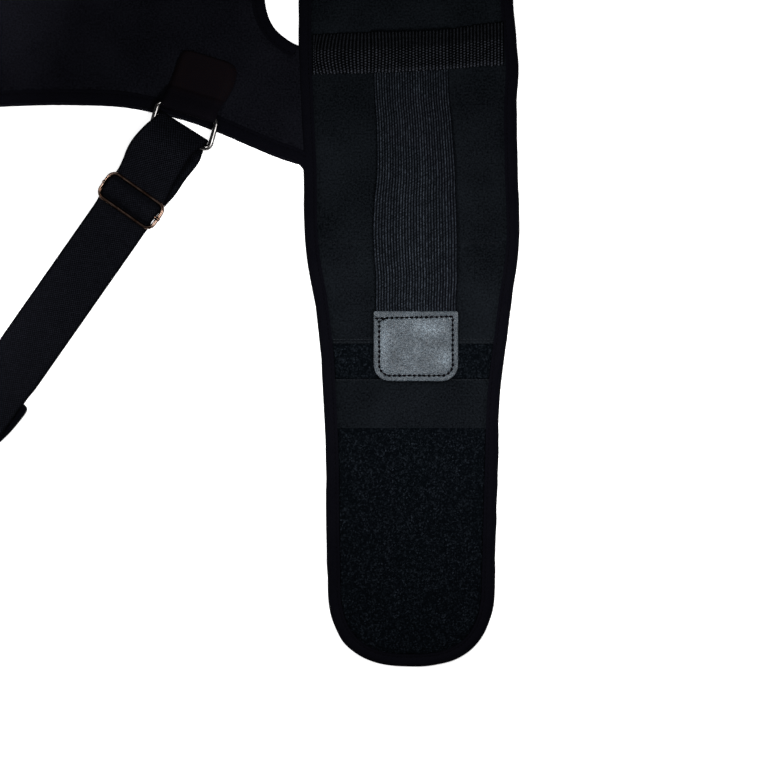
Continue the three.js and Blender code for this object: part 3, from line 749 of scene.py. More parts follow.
def beltOutline():
    # foot edge and right end, top edge, then the mirrored left end, anticlockwise
    along = np.linspace(0, lastAlong, belt["edgeCount"])
    top, foot = beltEdges(along)
    angle = np.linspace(0, np.pi, belt["endCount"])[1:-1]
    power = 2 / belt["endPower"]
    centre, half = (top[-1] + foot[-1]) / 2, (foot[-1] - top[-1]) / 2
    endX = centre + half * np.sign(np.cos(angle)) * np.abs(np.cos(angle)) ** power
    endY = lastAlong + belt["endDepth"] * np.sin(angle) ** power
    footRun, end, topRun = (np.stack(run, axis=1) for run in ((foot, along), (endX, endY), (top, along)))
    right = np.concatenate([footRun, end, topRun[::-1]])
    return np.concatenate([right, (right * [1, -1])[::-1][1:]])


edgeTape("belt_edge_tape", "belt_binding", beltOutline(), cloth["height"], belt["tapeSeed"], True,
         belt["tapeWander"])
print("belt cloth and tape made")


# Pile fields on the belt

pile = {
    "base": 3.8 * mm, "height": 1.25 * mm, "margin": 8.7 * mm, "step": 0.85 * mm, "rim": (0.9 * mm, 0.35),
    "fuzz": 0.28 * mm, "fuzzFade": 1 * mm, "swell": (0.15 * mm, 7 * mm), "jitter": 0.25 * mm,
    "jitterFade": 1.5 * mm,
}
loopField = {"from": 317.2 * mm, "to": pastEnd, "columns": 108, "seed": 21}
tabStrip = {"from": 262.6 * mm, "to": 285.2 * mm, "columns": 118, "seed": 31}


def pileSheet(name, node, side, field):
    # level sheet whose top is roughened point by point, rounded off at its cut edge
    sign, seed = sides[side], field["seed"] + sides[side]
    x, along = beltGrid(field["from"], field["to"], pile["margin"], pile["step"], field["columns"])
    rng = np.random.default_rng(seed)
    rough = rng.uniform(-1, 1, x.shape)
    inside = np.minimum(beltInside(x, along) - pile["margin"], along - field["from"])
    inside = np.minimum(inside, field["to"] - along)
    lift = roundRim(np.clip(inside, 0, None), *pile["rim"])
    top = pile["base"] + pile["height"] * lift + pile["fuzz"] * rough * smoothStep(inside / pile["fuzzFade"])
    top = top + waves(x, along, *pile["swell"], seed + 1)
    jitter = pile["jitter"] * rng.uniform(-1, 1, (2, *x.shape)) * smoothStep(inside / pile["jitterFade"])
    tufts = points3(x + jitter[0], sign * (along + jitter[1]), top)
    points, faces = slab(tufts, points3(x, sign * along, pile["base"]))
    piece = addPiece(f"{name}_{side}", points, faces, pileFinish, [f"{node}_{side}"], sharp=smooth)


def buildPile():
    # the field on each end and the strip under each tab
    for side in sides:
        pileSheet("loop_pile", "loop_field", side, loopField)
        pileSheet("tab_pile", "tab_strip", side, tabStrip)


stripThread = {
    "pitch": 2.2 * mm, "long": 1.9 * mm, "wide": 0.5 * mm, "lift": 0.25 * mm,
    "lines": {  # distances from the midline
        "strip_thread": (paleThreadFinish, mm * np.array([259.7, 261.5, 286.0])),
        "seam_thread": (seamThreadFinish, mm * np.array([197.3])),
    },
}


def buildStripThread():
    # sewing lines straight across the belt, beside the strip and along the cross seam
    level = cloth["height"] + stripThread["lift"]
    for name, (finish, lines) in stripThread["lines"].items():
        tops, feet = beltEdges(lines, pile["margin"])
        for side, sign in sides.items():
            paths = [np.array([(top, sign * along), (foot, sign * along)])
                     for top, foot, along in zip(tops, feet, lines)]
            rows = [spacedStitches(path, stripThread["pitch"], level) for path in paths]
            stitchPiece(f"{name}_{side}", rows, finish, stripThread["long"], stripThread["wide"])


buildPile()
buildStripThread()
print("pile made")


# Ribbed band across the belt

band = {
    # X and the two long edges' distance from the midline
    "edges": mm * np.array([
        (140.4, 62.4, 88.0), (160, 61.6, 87.8), (180, 60.9, 87.5), (205, 60.4, 86.5), (218, 60.0, 85.8),
        (235, 58.0, 84.4), (250, 55.6, 83.0), (264, 54.0, 82.0)]),
    "thick": 1.6 * mm, "ribs": (56, 6), "ribDepth": 0.6 * mm, "rows": 61, "rim": (1.0 * mm, 0.4),
    "flat": 3.8 * mm, "raised": 5.6 * mm, "strapLeft": 179.3 * mm, "strapRight": 228.3 * mm, "ramp": 2 * mm,
    "hemAt": 0.16, "hem": (0.35 * mm, 0.03), "bow": 1.7 * mm, "bowReach": 45 * mm, "bowFade": 4 * mm,
    "lean": (0.7 * mm, 31 * mm, 41), "leanFade": 6 * mm, "fray": (0.35 * mm, 1.1 * mm, 45), "frayPower": 6,
    "bead": 0.1 * mm, "dotPitch": 1.75 * mm, "dotsFrom": (0.34, 0.12), "farEdgeFrom": (0.85, 0.1),
    # painted crest highlights: the dimmest yarn, plain rows, and what a dot, the gap between dots
    # and the far edge add to them
    "dimmest": 0.35, "plain": 0.5, "dot": 1.6, "gap": -0.3, "farEdge": 0.5, "crestPower": 4, "sparkSeed": 47,
}
ribPower = 0.7


def ribs(count, perRib):
    # height of rounded ribs across a strip, 0 in each valley and 1 on each crest
    return np.abs(np.sin(np.pi * np.arange(count * perRib + 1) / perRib))[None, :] ** ribPower


def ribSigns(count, perRib):
    # -1 and 1 by turns from rib to rib
    return np.where((np.arange(count * perRib + 1) // perRib) % 2, 1, -1)[None, :]


def buildBand():
    # ribs across a strip between its two edges, beaded along each rib, with a hem line and a round rim
    crest = ribs(*band["ribs"])
    knots = band["edges"][:, 0]
    x = np.linspace(knots[0], knots[-1], crest.size)[None, :]
    upper, lower = (smoothCurve(x, knots, band["edges"][:, k]) for k in (1, 2))
    share = np.linspace(0, 1, band["rows"])[:, None]
    along = upper + (lower - upper) * share
    outside = np.maximum(np.maximum(band["strapLeft"] - x, x - band["strapRight"]), 0)
    base = band["raised"] + (band["flat"] - band["raised"]) * smoothStep(outside / band["ramp"])
    wave = np.sin(2 * np.pi * share * (lower - upper) / band["dotPitch"]) * ribSigns(*band["ribs"])
    thick = band["thick"] - band["ribDepth"] * (1 - crest) + band["bead"] * wave * crest
    thick = thick - bell(share - band["hemAt"], *band["hem"])
    top = base + thick * roundRim(np.minimum(share, 1 - share) * (lower - upper), *band["rim"])
    inset = np.minimum(x - knots[0], knots[-1] - x)
    bow = band["bow"] * (1 - rise(x, knots[0], band["bowReach"])) * smoothStep(inset / band["bowFade"])
    farEdge = band["farEdge"] * rise(share, *band["farEdgeFrom"])
    dots = band["dot"] * np.clip(wave, 0, 1) + band["gap"] + farEdge
    tone = band["plain"] + rise(share, *band["dotsFrom"]) * dots
    for side, sign in sides.items():
        lean = waves(x, x * 0, *band["lean"], sign) * smoothStep(inset / band["leanFade"]) - bow
        fray = waves(x, x * 0, *band["fray"], sign) * (2 * share - 1) ** band["frayPower"]
        bent, y = x + lean * np.sin(np.pi * share), sign * (along + fray)
        rng = np.random.default_rng(band["sparkSeed"] + sign)
        spark = rng.uniform(band["dimmest"], 1, along.shape) * tone
        piece = addSlab(f"band_ribs_{side}", f"anchor_band_{side}", bent, y, top, base + 0 * along,
                        bandFinish, crest ** band["crestPower"] * spark)


buildBand()


# Elastic pull strap: distance from the midline, centre X, width and height of the underside

pullStrap = {
    "rows": mm * np.array([(63, 203.8, 48.4, 3.8), (89, 204.1, 48.4, 3.8), (102, 204.6, 48.4, 4.6),
                           (146, 206.9, 50.2, 6.2), (193, 207.0, 54.4, 6.8), (220, 207.3, 52.8, 6.3),
                           (241, 207.6, 52.0, 5.5), (282, 207.3, 50.6, 5.5)]),
    "thick": 1.5 * mm, "ribs": (29, 4), "ribDepth": 0.5 * mm, "step": 0.95 * mm, "bead": 0.07 * mm,
    "rim": (0.8 * mm, 0.5), "curl": 1.7 * mm, "curlFrom": (0.2, 0.3),
    # height, cell and seed
    "sway": (0.45 * mm, 17 * mm, 51), "waver": (0.08 * mm, 9 * mm, 53), "swell": (0.25 * mm, 13 * mm, 55),
    # from, to and fade
    "swellRun": (95 * mm, 240 * mm, 20 * mm), "curlRun": (100 * mm, 236 * mm, 30 * mm),
    # painted crest highlights: on all yarn, on every second crossing, and rare glints; then the spread from
    # rib to rib
    "dull": 0.1, "checker": 0.35, "glint": 1.1, "rarity": 3, "yarn": (0.65, 1.15), "sparkPower": 0.45,
    "crestPower": 3, "sparkSeed": 57, "yarnSeed": 59,
}


def buildPullStrap():
    # ribs along a strip that rises off the belt, swells here and there and curls up along one edge
    strap = pullStrap
    knots = strap["rows"][:, 0]
    along = np.arange(knots[0], knots[-1], strap["step"])[:, None]
    centre, width, base = (smoothCurve(along, knots, strap["rows"][:, k]) for k in (1, 2, 3))
    count, perRib = strap["ribs"]
    crest = ribs(count, perRib)
    share = np.linspace(-0.5, 0.5, crest.size)[None, :]
    checker = np.where(np.arange(len(along)) % 2, 1, -1)[:, None] * ribSigns(count, perRib)
    thick = strap["thick"] - strap["ribDepth"] * (1 - crest) + strap["bead"] * checker * crest
    thick = thick * roundRim((0.5 - np.abs(share)) * width, *strap["rim"])
    curl = strap["curl"] * rise(share, *strap["curlFrom"]) * between(along, *strap["curlRun"])
    for side, sign in sides.items():
        waver = waves(share * width, along, *strap["waver"], sign) * (1 - (2 * share) ** 4)
        x = centre + waves(along, along * 0, *strap["sway"], sign) + share * width + waver
        foot = base + waves(x, along, *strap["swell"], sign) * between(along, *strap["swellRun"]) + curl
        glints = np.random.default_rng(strap["sparkSeed"] + sign).uniform(0, 1, x.shape) ** strap["rarity"]
        yarn = np.random.default_rng(strap["yarnSeed"] + sign).uniform(*strap["yarn"], count + 1)
        spark = strap["dull"] + strap["checker"] * (checker > 0) + strap["glint"] * glints
        spark = spark * yarn[np.arange(crest.size) // perRib][None, :]
        shade = crest ** strap["crestPower"] * spark ** strap["sparkPower"]
        piece = addSlab(f"elastic_strap_{side}", f"pull_strap_{side}", x, sign * along, foot + thick, foot,
                        strapFinish, shade)


buildPullStrap()
print("band and pull strap made")


# Leatherette pull tab

tab = {
    "from": 241.5 * mm, "to": 286.8 * mm, "centre": 207.2 * mm, "width": 54.6 * mm, "base": 7.3 * mm,
    "thick": 1.5 * mm, "footRadius": 10.6 * mm, "headRadius": 1.4 * mm, "rim": (0.7 * mm, 0.3),
    "under": 0.25 * mm, "step": 0.55 * mm, "edgeSteps": mm * np.array([0, 0.12, 0.3, 0.55, 0.85, 1.2]),
    "innerFrom": 1.6 * mm, "cornerCount": 12, "seamStep": 0.5 * mm, "stitchIn": 3.6 * mm,
    "stitchPitch": 3.2 * mm, "stitchLong": 2.35 * mm, "stitchWide": 1.55 * mm, "threadLift": 0.22 * mm,
    # the groove's shadow cord: a dark tube of painted shadow along the sewing line
    "grooveShadowCord": 0.26 * mm, "grooveShadowSides": 6, "grooveDepth": 0.6 * mm, "grooveWide": 0.85 * mm,
    "cut": (4.2 * mm, 2.2 * mm),
    # sewing line at the head: its start in from the edge, then its drop there, at the cut, and the cut's own
    "headSeam": (0.6 * mm, 1.3 * mm, 1.0 * mm, 1.1 * mm),
    "puff": 0.45 * mm, "puffAfter": 0.8 * mm, "puffReach": 4 * mm,
    "creaseAt": 264 * mm, "crease": (0.4 * mm, 3.2 * mm), "creaseWander": (1.5 * mm, 14 * mm, 61),
    "lumps": ((0.2 * mm, 8 * mm, 63), (0.05 * mm, 1.3 * mm, 66)),  # height, cell and seed
    # painted sheen in spots, and painted shade along the crease where the strength is negative:
    # sideways from the middle, distance from the midline, reach both ways and strength
    "sheenAndShadeSpots": [
        (7.6 * mm, 252 * mm, 9.5 * mm, 6.5 * mm, 0.62), (-21.5 * mm, 263 * mm, 4 * mm, 22 * mm, 0.44),
        (18.5 * mm, 271.5 * mm, 4.5 * mm, 5.5 * mm, 0.5), (10 * mm, 262.8 * mm, 14 * mm, 2.8 * mm, -0.14)],
    "hemPaintedShade": -0.13, "hemFade": 1 * mm,
}


def tabInside(x, along):
    # distance in from a rectangle whose foot corners are rounder than its head corners
    halfWide, halfLong = tab["width"] / 2, (tab["to"] - tab["from"]) / 2
    down = along - (tab["from"] + tab["to"]) / 2
    radius = np.where(down > 0, tab["footRadius"], tab["headRadius"])
    qx, qy = np.abs(x - tab["centre"]) - halfWide + radius, np.abs(down) - halfLong + radius
    corner = np.hypot(np.maximum(qx, 0), np.maximum(qy, 0)) + np.minimum(np.maximum(qx, qy), 0)
    return radius - corner


def tabSeam():
    # sewing line: out to the left edge at the head, with the inner corner there cut across
    left, right = tab["centre"] - tab["width"] / 2, tab["centre"] + tab["width"] / 2
    inset, radius = tab["stitchIn"], tab["footRadius"] - tab["stitchIn"]
    angle = np.linspace(0, np.pi / 2, tab["cornerCount"])
    footY, headY = tab["to"] - inset - radius, tab["from"] + inset
    rightTurn = np.stack([right - inset - radius + radius * np.cos(angle), footY + radius * np.sin(angle)], 1)
    leftTurn = np.stack([left + inset + radius - radius * np.sin(angle), footY + radius * np.cos(angle)], 1)
    startIn, startDrop, innerDrop, cutDrop = tab["headSeam"]
    inner = left + inset + tab["cut"][0]
    head = np.array([(left + startIn, headY + startDrop), (inner, headY + innerDrop), (right - inset, headY)])
    cut = np.array([(left + inset, headY + cutDrop + tab["cut"][1]), (inner, headY + cutDrop)])
    return np.concatenate([head, rightTurn, leftTurn, cut])


def tabSteps(length):
    # distances across the tab: crowded by both edges, even between them
    edge, inner = tab["edgeSteps"], tab["innerFrom"]
    return np.concatenate([edge, np.arange(inner, length - inner, tab["step"]), length - edge[::-1]])


def cornerLoss(distance, radius):
    # what a round corner takes off the half width at a distance from the end
    gap = np.clip(radius - distance, 0, None)
    return radius - np.sqrt(radius ** 2 - gap ** 2)


def buildTab():
    # slab that puffs up inside its sewing line, with a crease across it, lumps and a groove under the thread
    rows = tabSteps(tab["to"] - tab["from"])
    across = tabSteps(tab["width"]) / tab["width"] * 2 - 1
    half = (tab["width"] / 2 - cornerLoss(rows[-1] - rows, tab["footRadius"])
            - cornerLoss(rows, tab["headRadius"]))
    x = tab["centre"] + half[:, None] * across[None, :]
    along = tab["from"] + rows[:, None] + 0 * x
    inside = np.clip(tabInside(x, along), 0, None)
    seam = evenPath(tabSeam(), tab["seamStep"])
    away = np.sqrt(((x[..., None] - seam[:, 0]) ** 2 + (along[..., None] - seam[:, 1]) ** 2).min(axis=-1))
    puff = 1 - np.exp(-np.clip(inside - tab["stitchIn"] - tab["puffAfter"], 0, None) / tab["puffReach"])
    fromCrease = along - tab["creaseAt"] - waves(x, x * 0, *tab["creaseWander"])
    dents = bell(away, tab["grooveDepth"], tab["grooveWide"]) + bell(fromCrease, *tab["crease"]) * puff
    # painted sheen in spots and painted shade along the crease
    sheenAndBrown = sum(bell(x - tab["centre"] - aside, much, wideReach) * bell(along - down, 1, longReach)
                 for aside, down, wideReach, longReach, much in tab["sheenAndShadeSpots"])
    hem = 1 - rise(inside, tab["stitchIn"], tab["hemFade"])
    # painted shade: the hem outside the sewing line is darker
    sheenAndBrown = sheenAndBrown * (1 - hem) + tab["hemPaintedShade"] * hem  # darker outside the sewing line
    rim = roundRim(inside, *tab["rim"])
    foot = tab["base"] + tab["under"] * (1 - rim)
    level = tab["base"] + tab["thick"] - tab["grooveDepth"] + tab["threadLift"]
    spots, heading, level = spacedStitches(tabSeam(), tab["stitchPitch"], level)
    for side, sign in sides.items():
        lumps = sum(waves(x, along, *lump, sign) for lump in tab["lumps"])
        top = tab["base"] + tab["thick"] * rim + (tab["puff"] + lumps) * puff - dents
        piece = addSlab(f"leather_tab_{side}", f"pull_tab_{side}", x, sign * along, top, foot, tabFinish,
                        sheenAndBrown)
        mirror = np.array([1, sign])
        # dark cord along the sewing line, joined to the stitches: painted shadow in the groove under the
        # thread
        rings = wireRings(seam * mirror, False, tab["grooveShadowCord"], tab["grooveShadowSides"]) + [0, 0, level]
        row = spots * mirror, heading * mirror, level
        thread = stitchPiece(f"tab_stitches_{side}", [row], threadFinish, tab["stitchLong"],
                             tab["stitchWide"], [tube(rings, False)])


buildTab()
print("pull tab made")


# Back panel: X and distance from the midline along its edges

panel = {
    "side": mm * np.array([
        (-122.6, 113.4), (-90, 109.6), (-52, 107), (-14, 106.4), (20.5, 108.2), (41.3, 112.2), (62.1, 117.8),
        (82.9, 125.6), (103.7, 134.6), (119.3, 141), (129.7, 144.4), (132.6, 146.6), (134.2, 149.6)]),
    "neck": mm * np.array([(-150, 0), (-151.6, 24), (-156.6, 48), (-165, 71)]),
    "padInner": mm * np.array([-122.6, 113.4]),
    "slotX": 109.5 * mm, "slotStraight": 39 * mm, "slotTip": 69 * mm, "slotRadius": 31.7 * mm, "arcCount": 40,
    "beltMeets": 146 * mm, "lap": 0.6 * mm, "tipLap": 1.6 * mm, "rows": 100, "half": 34, "tuckReach": 8 * mm,
    "swell": (0.22 * mm, 34 * mm, 71), "fine": 1 * mm, "edgeCount": 200, "sideCount": 300, "tapeCount": 400,
    "tapeSeed": 81,
}


def slotEdge(count):
    # straight middle, then an arc up to the belt
    turn = math.asin((panel["slotTip"] - panel["slotStraight"]) / panel["slotRadius"])
    angle = np.linspace(0, turn, panel["arcCount"])
    arc = np.stack([panel["slotX"] + panel["slotRadius"] * (1 - np.cos(angle)),
                    panel["slotStraight"] + panel["slotRadius"] * np.sin(angle)], axis=1)
    return evenCount(np.concatenate([[(panel["slotX"], 0)], arc]), count)


def beltJoin(count):
    # along the belt's top edge from the slot's tip to the side, lapped a little over it
    along = np.linspace(panel["slotTip"], panel["beltMeets"], count)
    return np.stack([beltEdges(along)[0] + panel["lap"], along], axis=1)


def buildPanel():
    # four edge curves blended across: neck to belt one way, midline to side the other, less their corners
    half = panel["half"]
    shoulder = evenCount(np.stack([panel["neck"][-1], panel["padInner"]]), half)
    neck = np.concatenate([knotPath(panel["neck"], half), shoulder[1:]])
    foot = np.concatenate([slotEdge(half), beltJoin(half)[1:]])
    sideRun = knotPath(panel["side"][:-2], panel["sideCount"])
    side = evenCount(np.concatenate([sideRun, foot[-1:]]), panel["rows"])
    middle = np.linspace(neck[0], foot[0], panel["rows"])
    u = np.linspace(0, 1, panel["rows"])[:, None, None]
    v = np.linspace(0, 1, 2 * half - 1)[None, :, None]
    grid = ((1 - u) * neck[None] + u * foot[None] + (1 - v) * middle[:, None] + v * side[:, None]
            - (1 - u) * (1 - v) * neck[0] - (1 - u) * v * neck[-1] - u * (1 - v) * foot[0] - u * v * foot[-1])
    edges = ((knotPath(panel["neck"], panel["edgeCount"]), -1), (slotEdge(panel["edgeCount"]), 1),
             (sideRun, 1))  # and the turn to their inner side
    bound = [(evenPath(path, panel["fine"]), turn) for path, turn in edges]
    edge = np.concatenate([path for path, _ in bound])
    inwards = np.concatenate([turn * leftOf(path, False)[1] for path, turn in bound])
    flat = grid.reshape(-1, 2)
    gaps = np.sqrt(((flat[:, None, :] - edge[None]) ** 2).sum(axis=2))
    nearest, inside = gaps.argmin(axis=1), gaps.min(axis=1)
    tuck = cloth["inset"] * np.clip(1 - inside / panel["tuckReach"], 0, 1)
    flat = flat + inwards[nearest] * tuck[:, None]
    inside = (inside + tuck).reshape(grid.shape[:2])
    grid = flat.reshape(grid.shape)
    grid[-1, half - 1:, 0] = beltEdges(grid[-1, half - 1:, 1])[0] + panel["lap"]  # stays on the belt
    x = np.concatenate([grid[:, :0:-1, 0], grid[:, :, 0]], axis=1)
    y = np.concatenate([-grid[:, :0:-1, 1], grid[:, :, 1]], axis=1)
    inside = np.concatenate([inside[:, :0:-1], inside], axis=1)
    top = clothTop(inside, cloth["height"]) + clothSwell(x, y, inside, panel["swell"])
    piece = addSlab("back_cloth", "back_panel", x, y, top, clothFoot(inside), panelFinish,
                    sharp=creased)


def buildPanelTape():
    # tape on the neck, the slot and both sides; the slot's runs on over the belt, mitred to meet it
    mirror = np.array([1, -1])
    neck = knotPath(panel["neck"], panel["edgeCount"])
    slot = slotEdge(panel["edgeCount"])
    side = knotPath(panel["side"], panel["tapeCount"])
    last = slot[-1:] - slot[-2:-1]
    slot = np.concatenate([slot, slot[-1:] + last * panel["tipLap"] / np.linalg.norm(last)])
    runs = {
        "neck_tape": ("neck_binding", np.concatenate([neck[::-1], (neck * mirror)[1:]])),
        "slot_tape": ("slot_binding", np.concatenate([(slot * mirror)[::-1], slot[1:]])),
        "back_tape_right": ("back_binding_right", side[::-1]),
        "back_tape_left": ("back_binding_left", side * mirror),
    }
    mitres = {"slot_tape": -last[0, 1] / last[0, 0]}
    for k, (name, (node, path)) in enumerate(runs.items()):
        edgeTape(name, node, path, cloth["height"], panel["tapeSeed"] + k, mitre=mitres.get(name, 0.0))


buildPanel()
buildPanelTape()
print("back panel made")


# Shoulder pads: a straight run from the panel's top corner, then an arc round to the webbing

pad = {
    "width": 60 * mm, "endWidth": 46 * mm, "taperFrom": (0.6, 0.4), "x": -143.8 * mm, "y": -92.2 * mm,
    "heading": 225, "straight": 100.1 * mm, "radius": 100 * mm, "turn": 190, "gap": 0.3 * mm, "step": 3 * mm,
    "columns": 41, "crown": 1.9 * mm, "crownRise": 16 * mm, "crownStart": 25 * mm, "crownEnd": 30 * mm,
    "calmEnd": 70 * mm, "swell": (0.2 * mm, 17 * mm, 91), "fill": 0.35, "outlineCount": 500, "tapeSeed": 93,
}


def padLine(travel):
    # straight, then round the arc: middle of the pad, leftward direction and half width
    heading = math.radians(pad["heading"])
    bend = np.clip((travel - pad["straight"]) / pad["radius"], 0, None)
    run = np.minimum(travel, pad["straight"])
    ahead = np.array([math.cos(heading), math.sin(heading)])
    left = np.array([-ahead[1], ahead[0]])
    middle = (np.array([pad["x"], pad["y"]]) + run[:, None] * ahead
              + pad["radius"] * (np.sin(bend)[:, None] * ahead + (1 - np.cos(bend))[:, None] * left))
    leftward = np.cos(bend)[:, None] * left - np.sin(bend)[:, None] * ahead
    taper = rise(bend / math.radians(pad["turn"]), *pad["taperFrom"])
    half = (pad["width"] + (pad["endWidth"] - pad["width"]) * taper) / 2
    return middle, leftward, half


def buildPads():
    # cloth with a low crown that dies out at the tape and both ends, and tape round all but the panel's end
    total = pad["straight"] + pad["radius"] * math.radians(pad["turn"])
    last = total - cloth["inset"]
    travel = np.append(np.arange(pad["gap"], last, pad["step"]), last)
    middle, leftward, half = padLine(travel)
    share = np.linspace(-1, 1, pad["columns"])
    reach = (half - cloth["inset"])[:, None] * share[None, :]
    x, y = (middle[:, None, k] + leftward[:, None, k] * reach for k in range(2))
    inside = np.minimum(half[:, None] - np.abs(reach), (total - travel)[:, None])
    ends = smoothStep((total - pad["calmEnd"] - travel) / pad["crownEnd"])
    ends = (ends * smoothStep(travel / pad["crownStart"]))[:, None]
    crown = pad["crown"] * rise(inside, cloth["lip"], pad["crownRise"]) * ends
    path, left, wide = padLine(np.linspace(pad["gap"], total, pad["outlineCount"]))
    outline = np.concatenate([path - left * wide[:, None], (path + left * wide[:, None])[::-1]])
    for side, sign in sides.items():
        top = clothTop(inside, cloth["padHeight"]) + crown + waves(x, y, *pad["swell"], sign)
        piece = addSlab(f"pad_cloth_{side}", f"shoulder_pad_{side}", x, -sign * y, top, clothFoot(inside),
                        panelFinish, sharp=creased)
        edge = outline * np.array([1, -sign])
        edge = edge if sign < 0 else edge[::-1]
        edgeTape(f"pad_tape_{side}", f"pad_binding_{side}", edge, cloth["padHeight"], pad["tapeSeed"] + sign)


buildPads()
stitchPiece("edge_stitches", tapeStitches, threadFinish, tape["stitchLong"], tape["stitchWide"])
print("shoulder pads and edge stitches made")


# Straps that bend in one plane

def ribbonGrid(rows, step, columns):
    # rows give along, height, width and sideways shift: a smooth line, its upward normals and places across
    length = pathLength(rows[:, :2])
    at = np.linspace(0, length[-1], int(length[-1] / step))
    along, height, width, shift = (smoothCurve(at, length, rows[:, k]) for k in range(4))
    line = np.stack([along, height], axis=1)
    share = np.linspace(-0.5, 0.5, columns)[None, :]
    return at, line, leftOf(line, False)[1], shift[:, None] + width[:, None] * share, share


def ribbonFaces(line, up, offsets):
    # along and height of each face, off the strap's line by its offset
    return [tuple(line[:, k, None] + up[:, k, None] * off for k in range(2)) for off in offsets]


def place(along, across, height, origin, degrees, sign):
    # strap's own axes turned and moved to the origin, and mirrored for the right side
    x, y = turned(along, across, degrees)
    return points3(origin[0] + x, -sign * (origin[1] + y), height)


def arcRows(centre, radius, start, stop, steps, width, shift):
    # turn of a strap round a bar: along and height on a circle
    angle = np.radians(np.linspace(start, stop, steps))
    return np.stack([centre[0] + radius * np.cos(angle), centre[1] + radius * np.sin(angle),
                     np.full(steps, width), np.full(steps, shift)], axis=1)


# Webbing from the slider's middle bar along the table, round the ring's lower bar and back through the slider

slider = {"along": 57.4 * mm, "height": 4.8 * mm, "spread": 18 * mm, "length": 41.6 * mm, "wire": 2.6 * mm,
          "corner": 5 * mm, "boss": 1.8 * mm}
webbing = {
    "origin": (55.86 * mm, -122.87 * mm), "angle": -125, "thick": 1.4 * mm, "width": 37.6 * mm,
    # painted shadow: both edges of the webbing are darkened
    "lowest": 0.04 * mm, "step": 0.9 * mm, "columns": 43, "paintedEdgeShadow": 2 * mm, "weave": 0.1 * mm,
    "rim": (0.9 * mm, 0.35), "wrapGap": 0.3 * mm,
    "wrapTurn": (130, -90, 9), "foldTurn": (270, 90, 9),  # degrees from and to, and points on the arc
    "foldAlong": 3.3 * mm, "foldHeight": 4.0 * mm, "foldRadius": 3.3 * mm, "foldWidth": 36.2 * mm,
    # painted shade: the turn round the ring is darker
    "foldShift": 0.7 * mm, "foldPaintedShade": 0.5, "foldReach": 18 * mm,  # the turn round the ring is darker
    # painted shadow: the lower run is dark where the upper run overhangs it
    "underTo": 50 * mm, "underHeight": 1.2 * mm, "underShadowFrom": (16.8 * mm, 2.6 * mm),  # lower run, tucked in
    "twist": (-1.65 * mm, -0.047), "twistFrom": 6 * mm, "twistTo": 46 * mm, "dimmest": 0.55, "sparkSeed": 101,
    # along, height, width and sideways shift
    "lower": mm * np.array([
        (49.5, 0.75, 37.6, 0.6), (39, 0.75, 37.6, 1.9), (27, 0.75, 37.6, 1.8), (14, 0.75, 37.2, 2.6)]),
    "upper": mm * np.array([
        (10, 7.3, 36.0, -1.5), (16, 6.4, 36.6, -2.6), (26, 4.6, 38.2, -3.0), (33, 3.6, 38.0, -2.4),
        (38, 2.9, 37.6, -1.4), (44, 2.4, 37.6, -0.4), (48.4, 2.4, 38.4, 0), (50.6, 3.3, 38.6, 0),
        (51.8, 5.4, 38.6, 0), (53.7, 7.8, 38.6, 0), (55.5, 8.7, 38.6, 0), (57.4, 8.95, 38.6, 0),
        (59.3, 8.7, 38.6, 0), (61.1, 7.8, 38.6, 0), (63, 5.4, 38.6, 0), (64.2, 3.3, 38.6, 0),
        (66.4, 2.4, 38.4, 0), (70, 1.5, 37.6, 0), (75, 0.75, 37.6, 0), (100, 0.75, 37.6, 0),
        (150, 0.75, 37.6, 0), (191, 0.75, 37.6, 0), (197, 3.2, 37.6, 0), (202, 5.5, 37.6, 0),
        (230, 5.5, 37.6, 0)]),
}


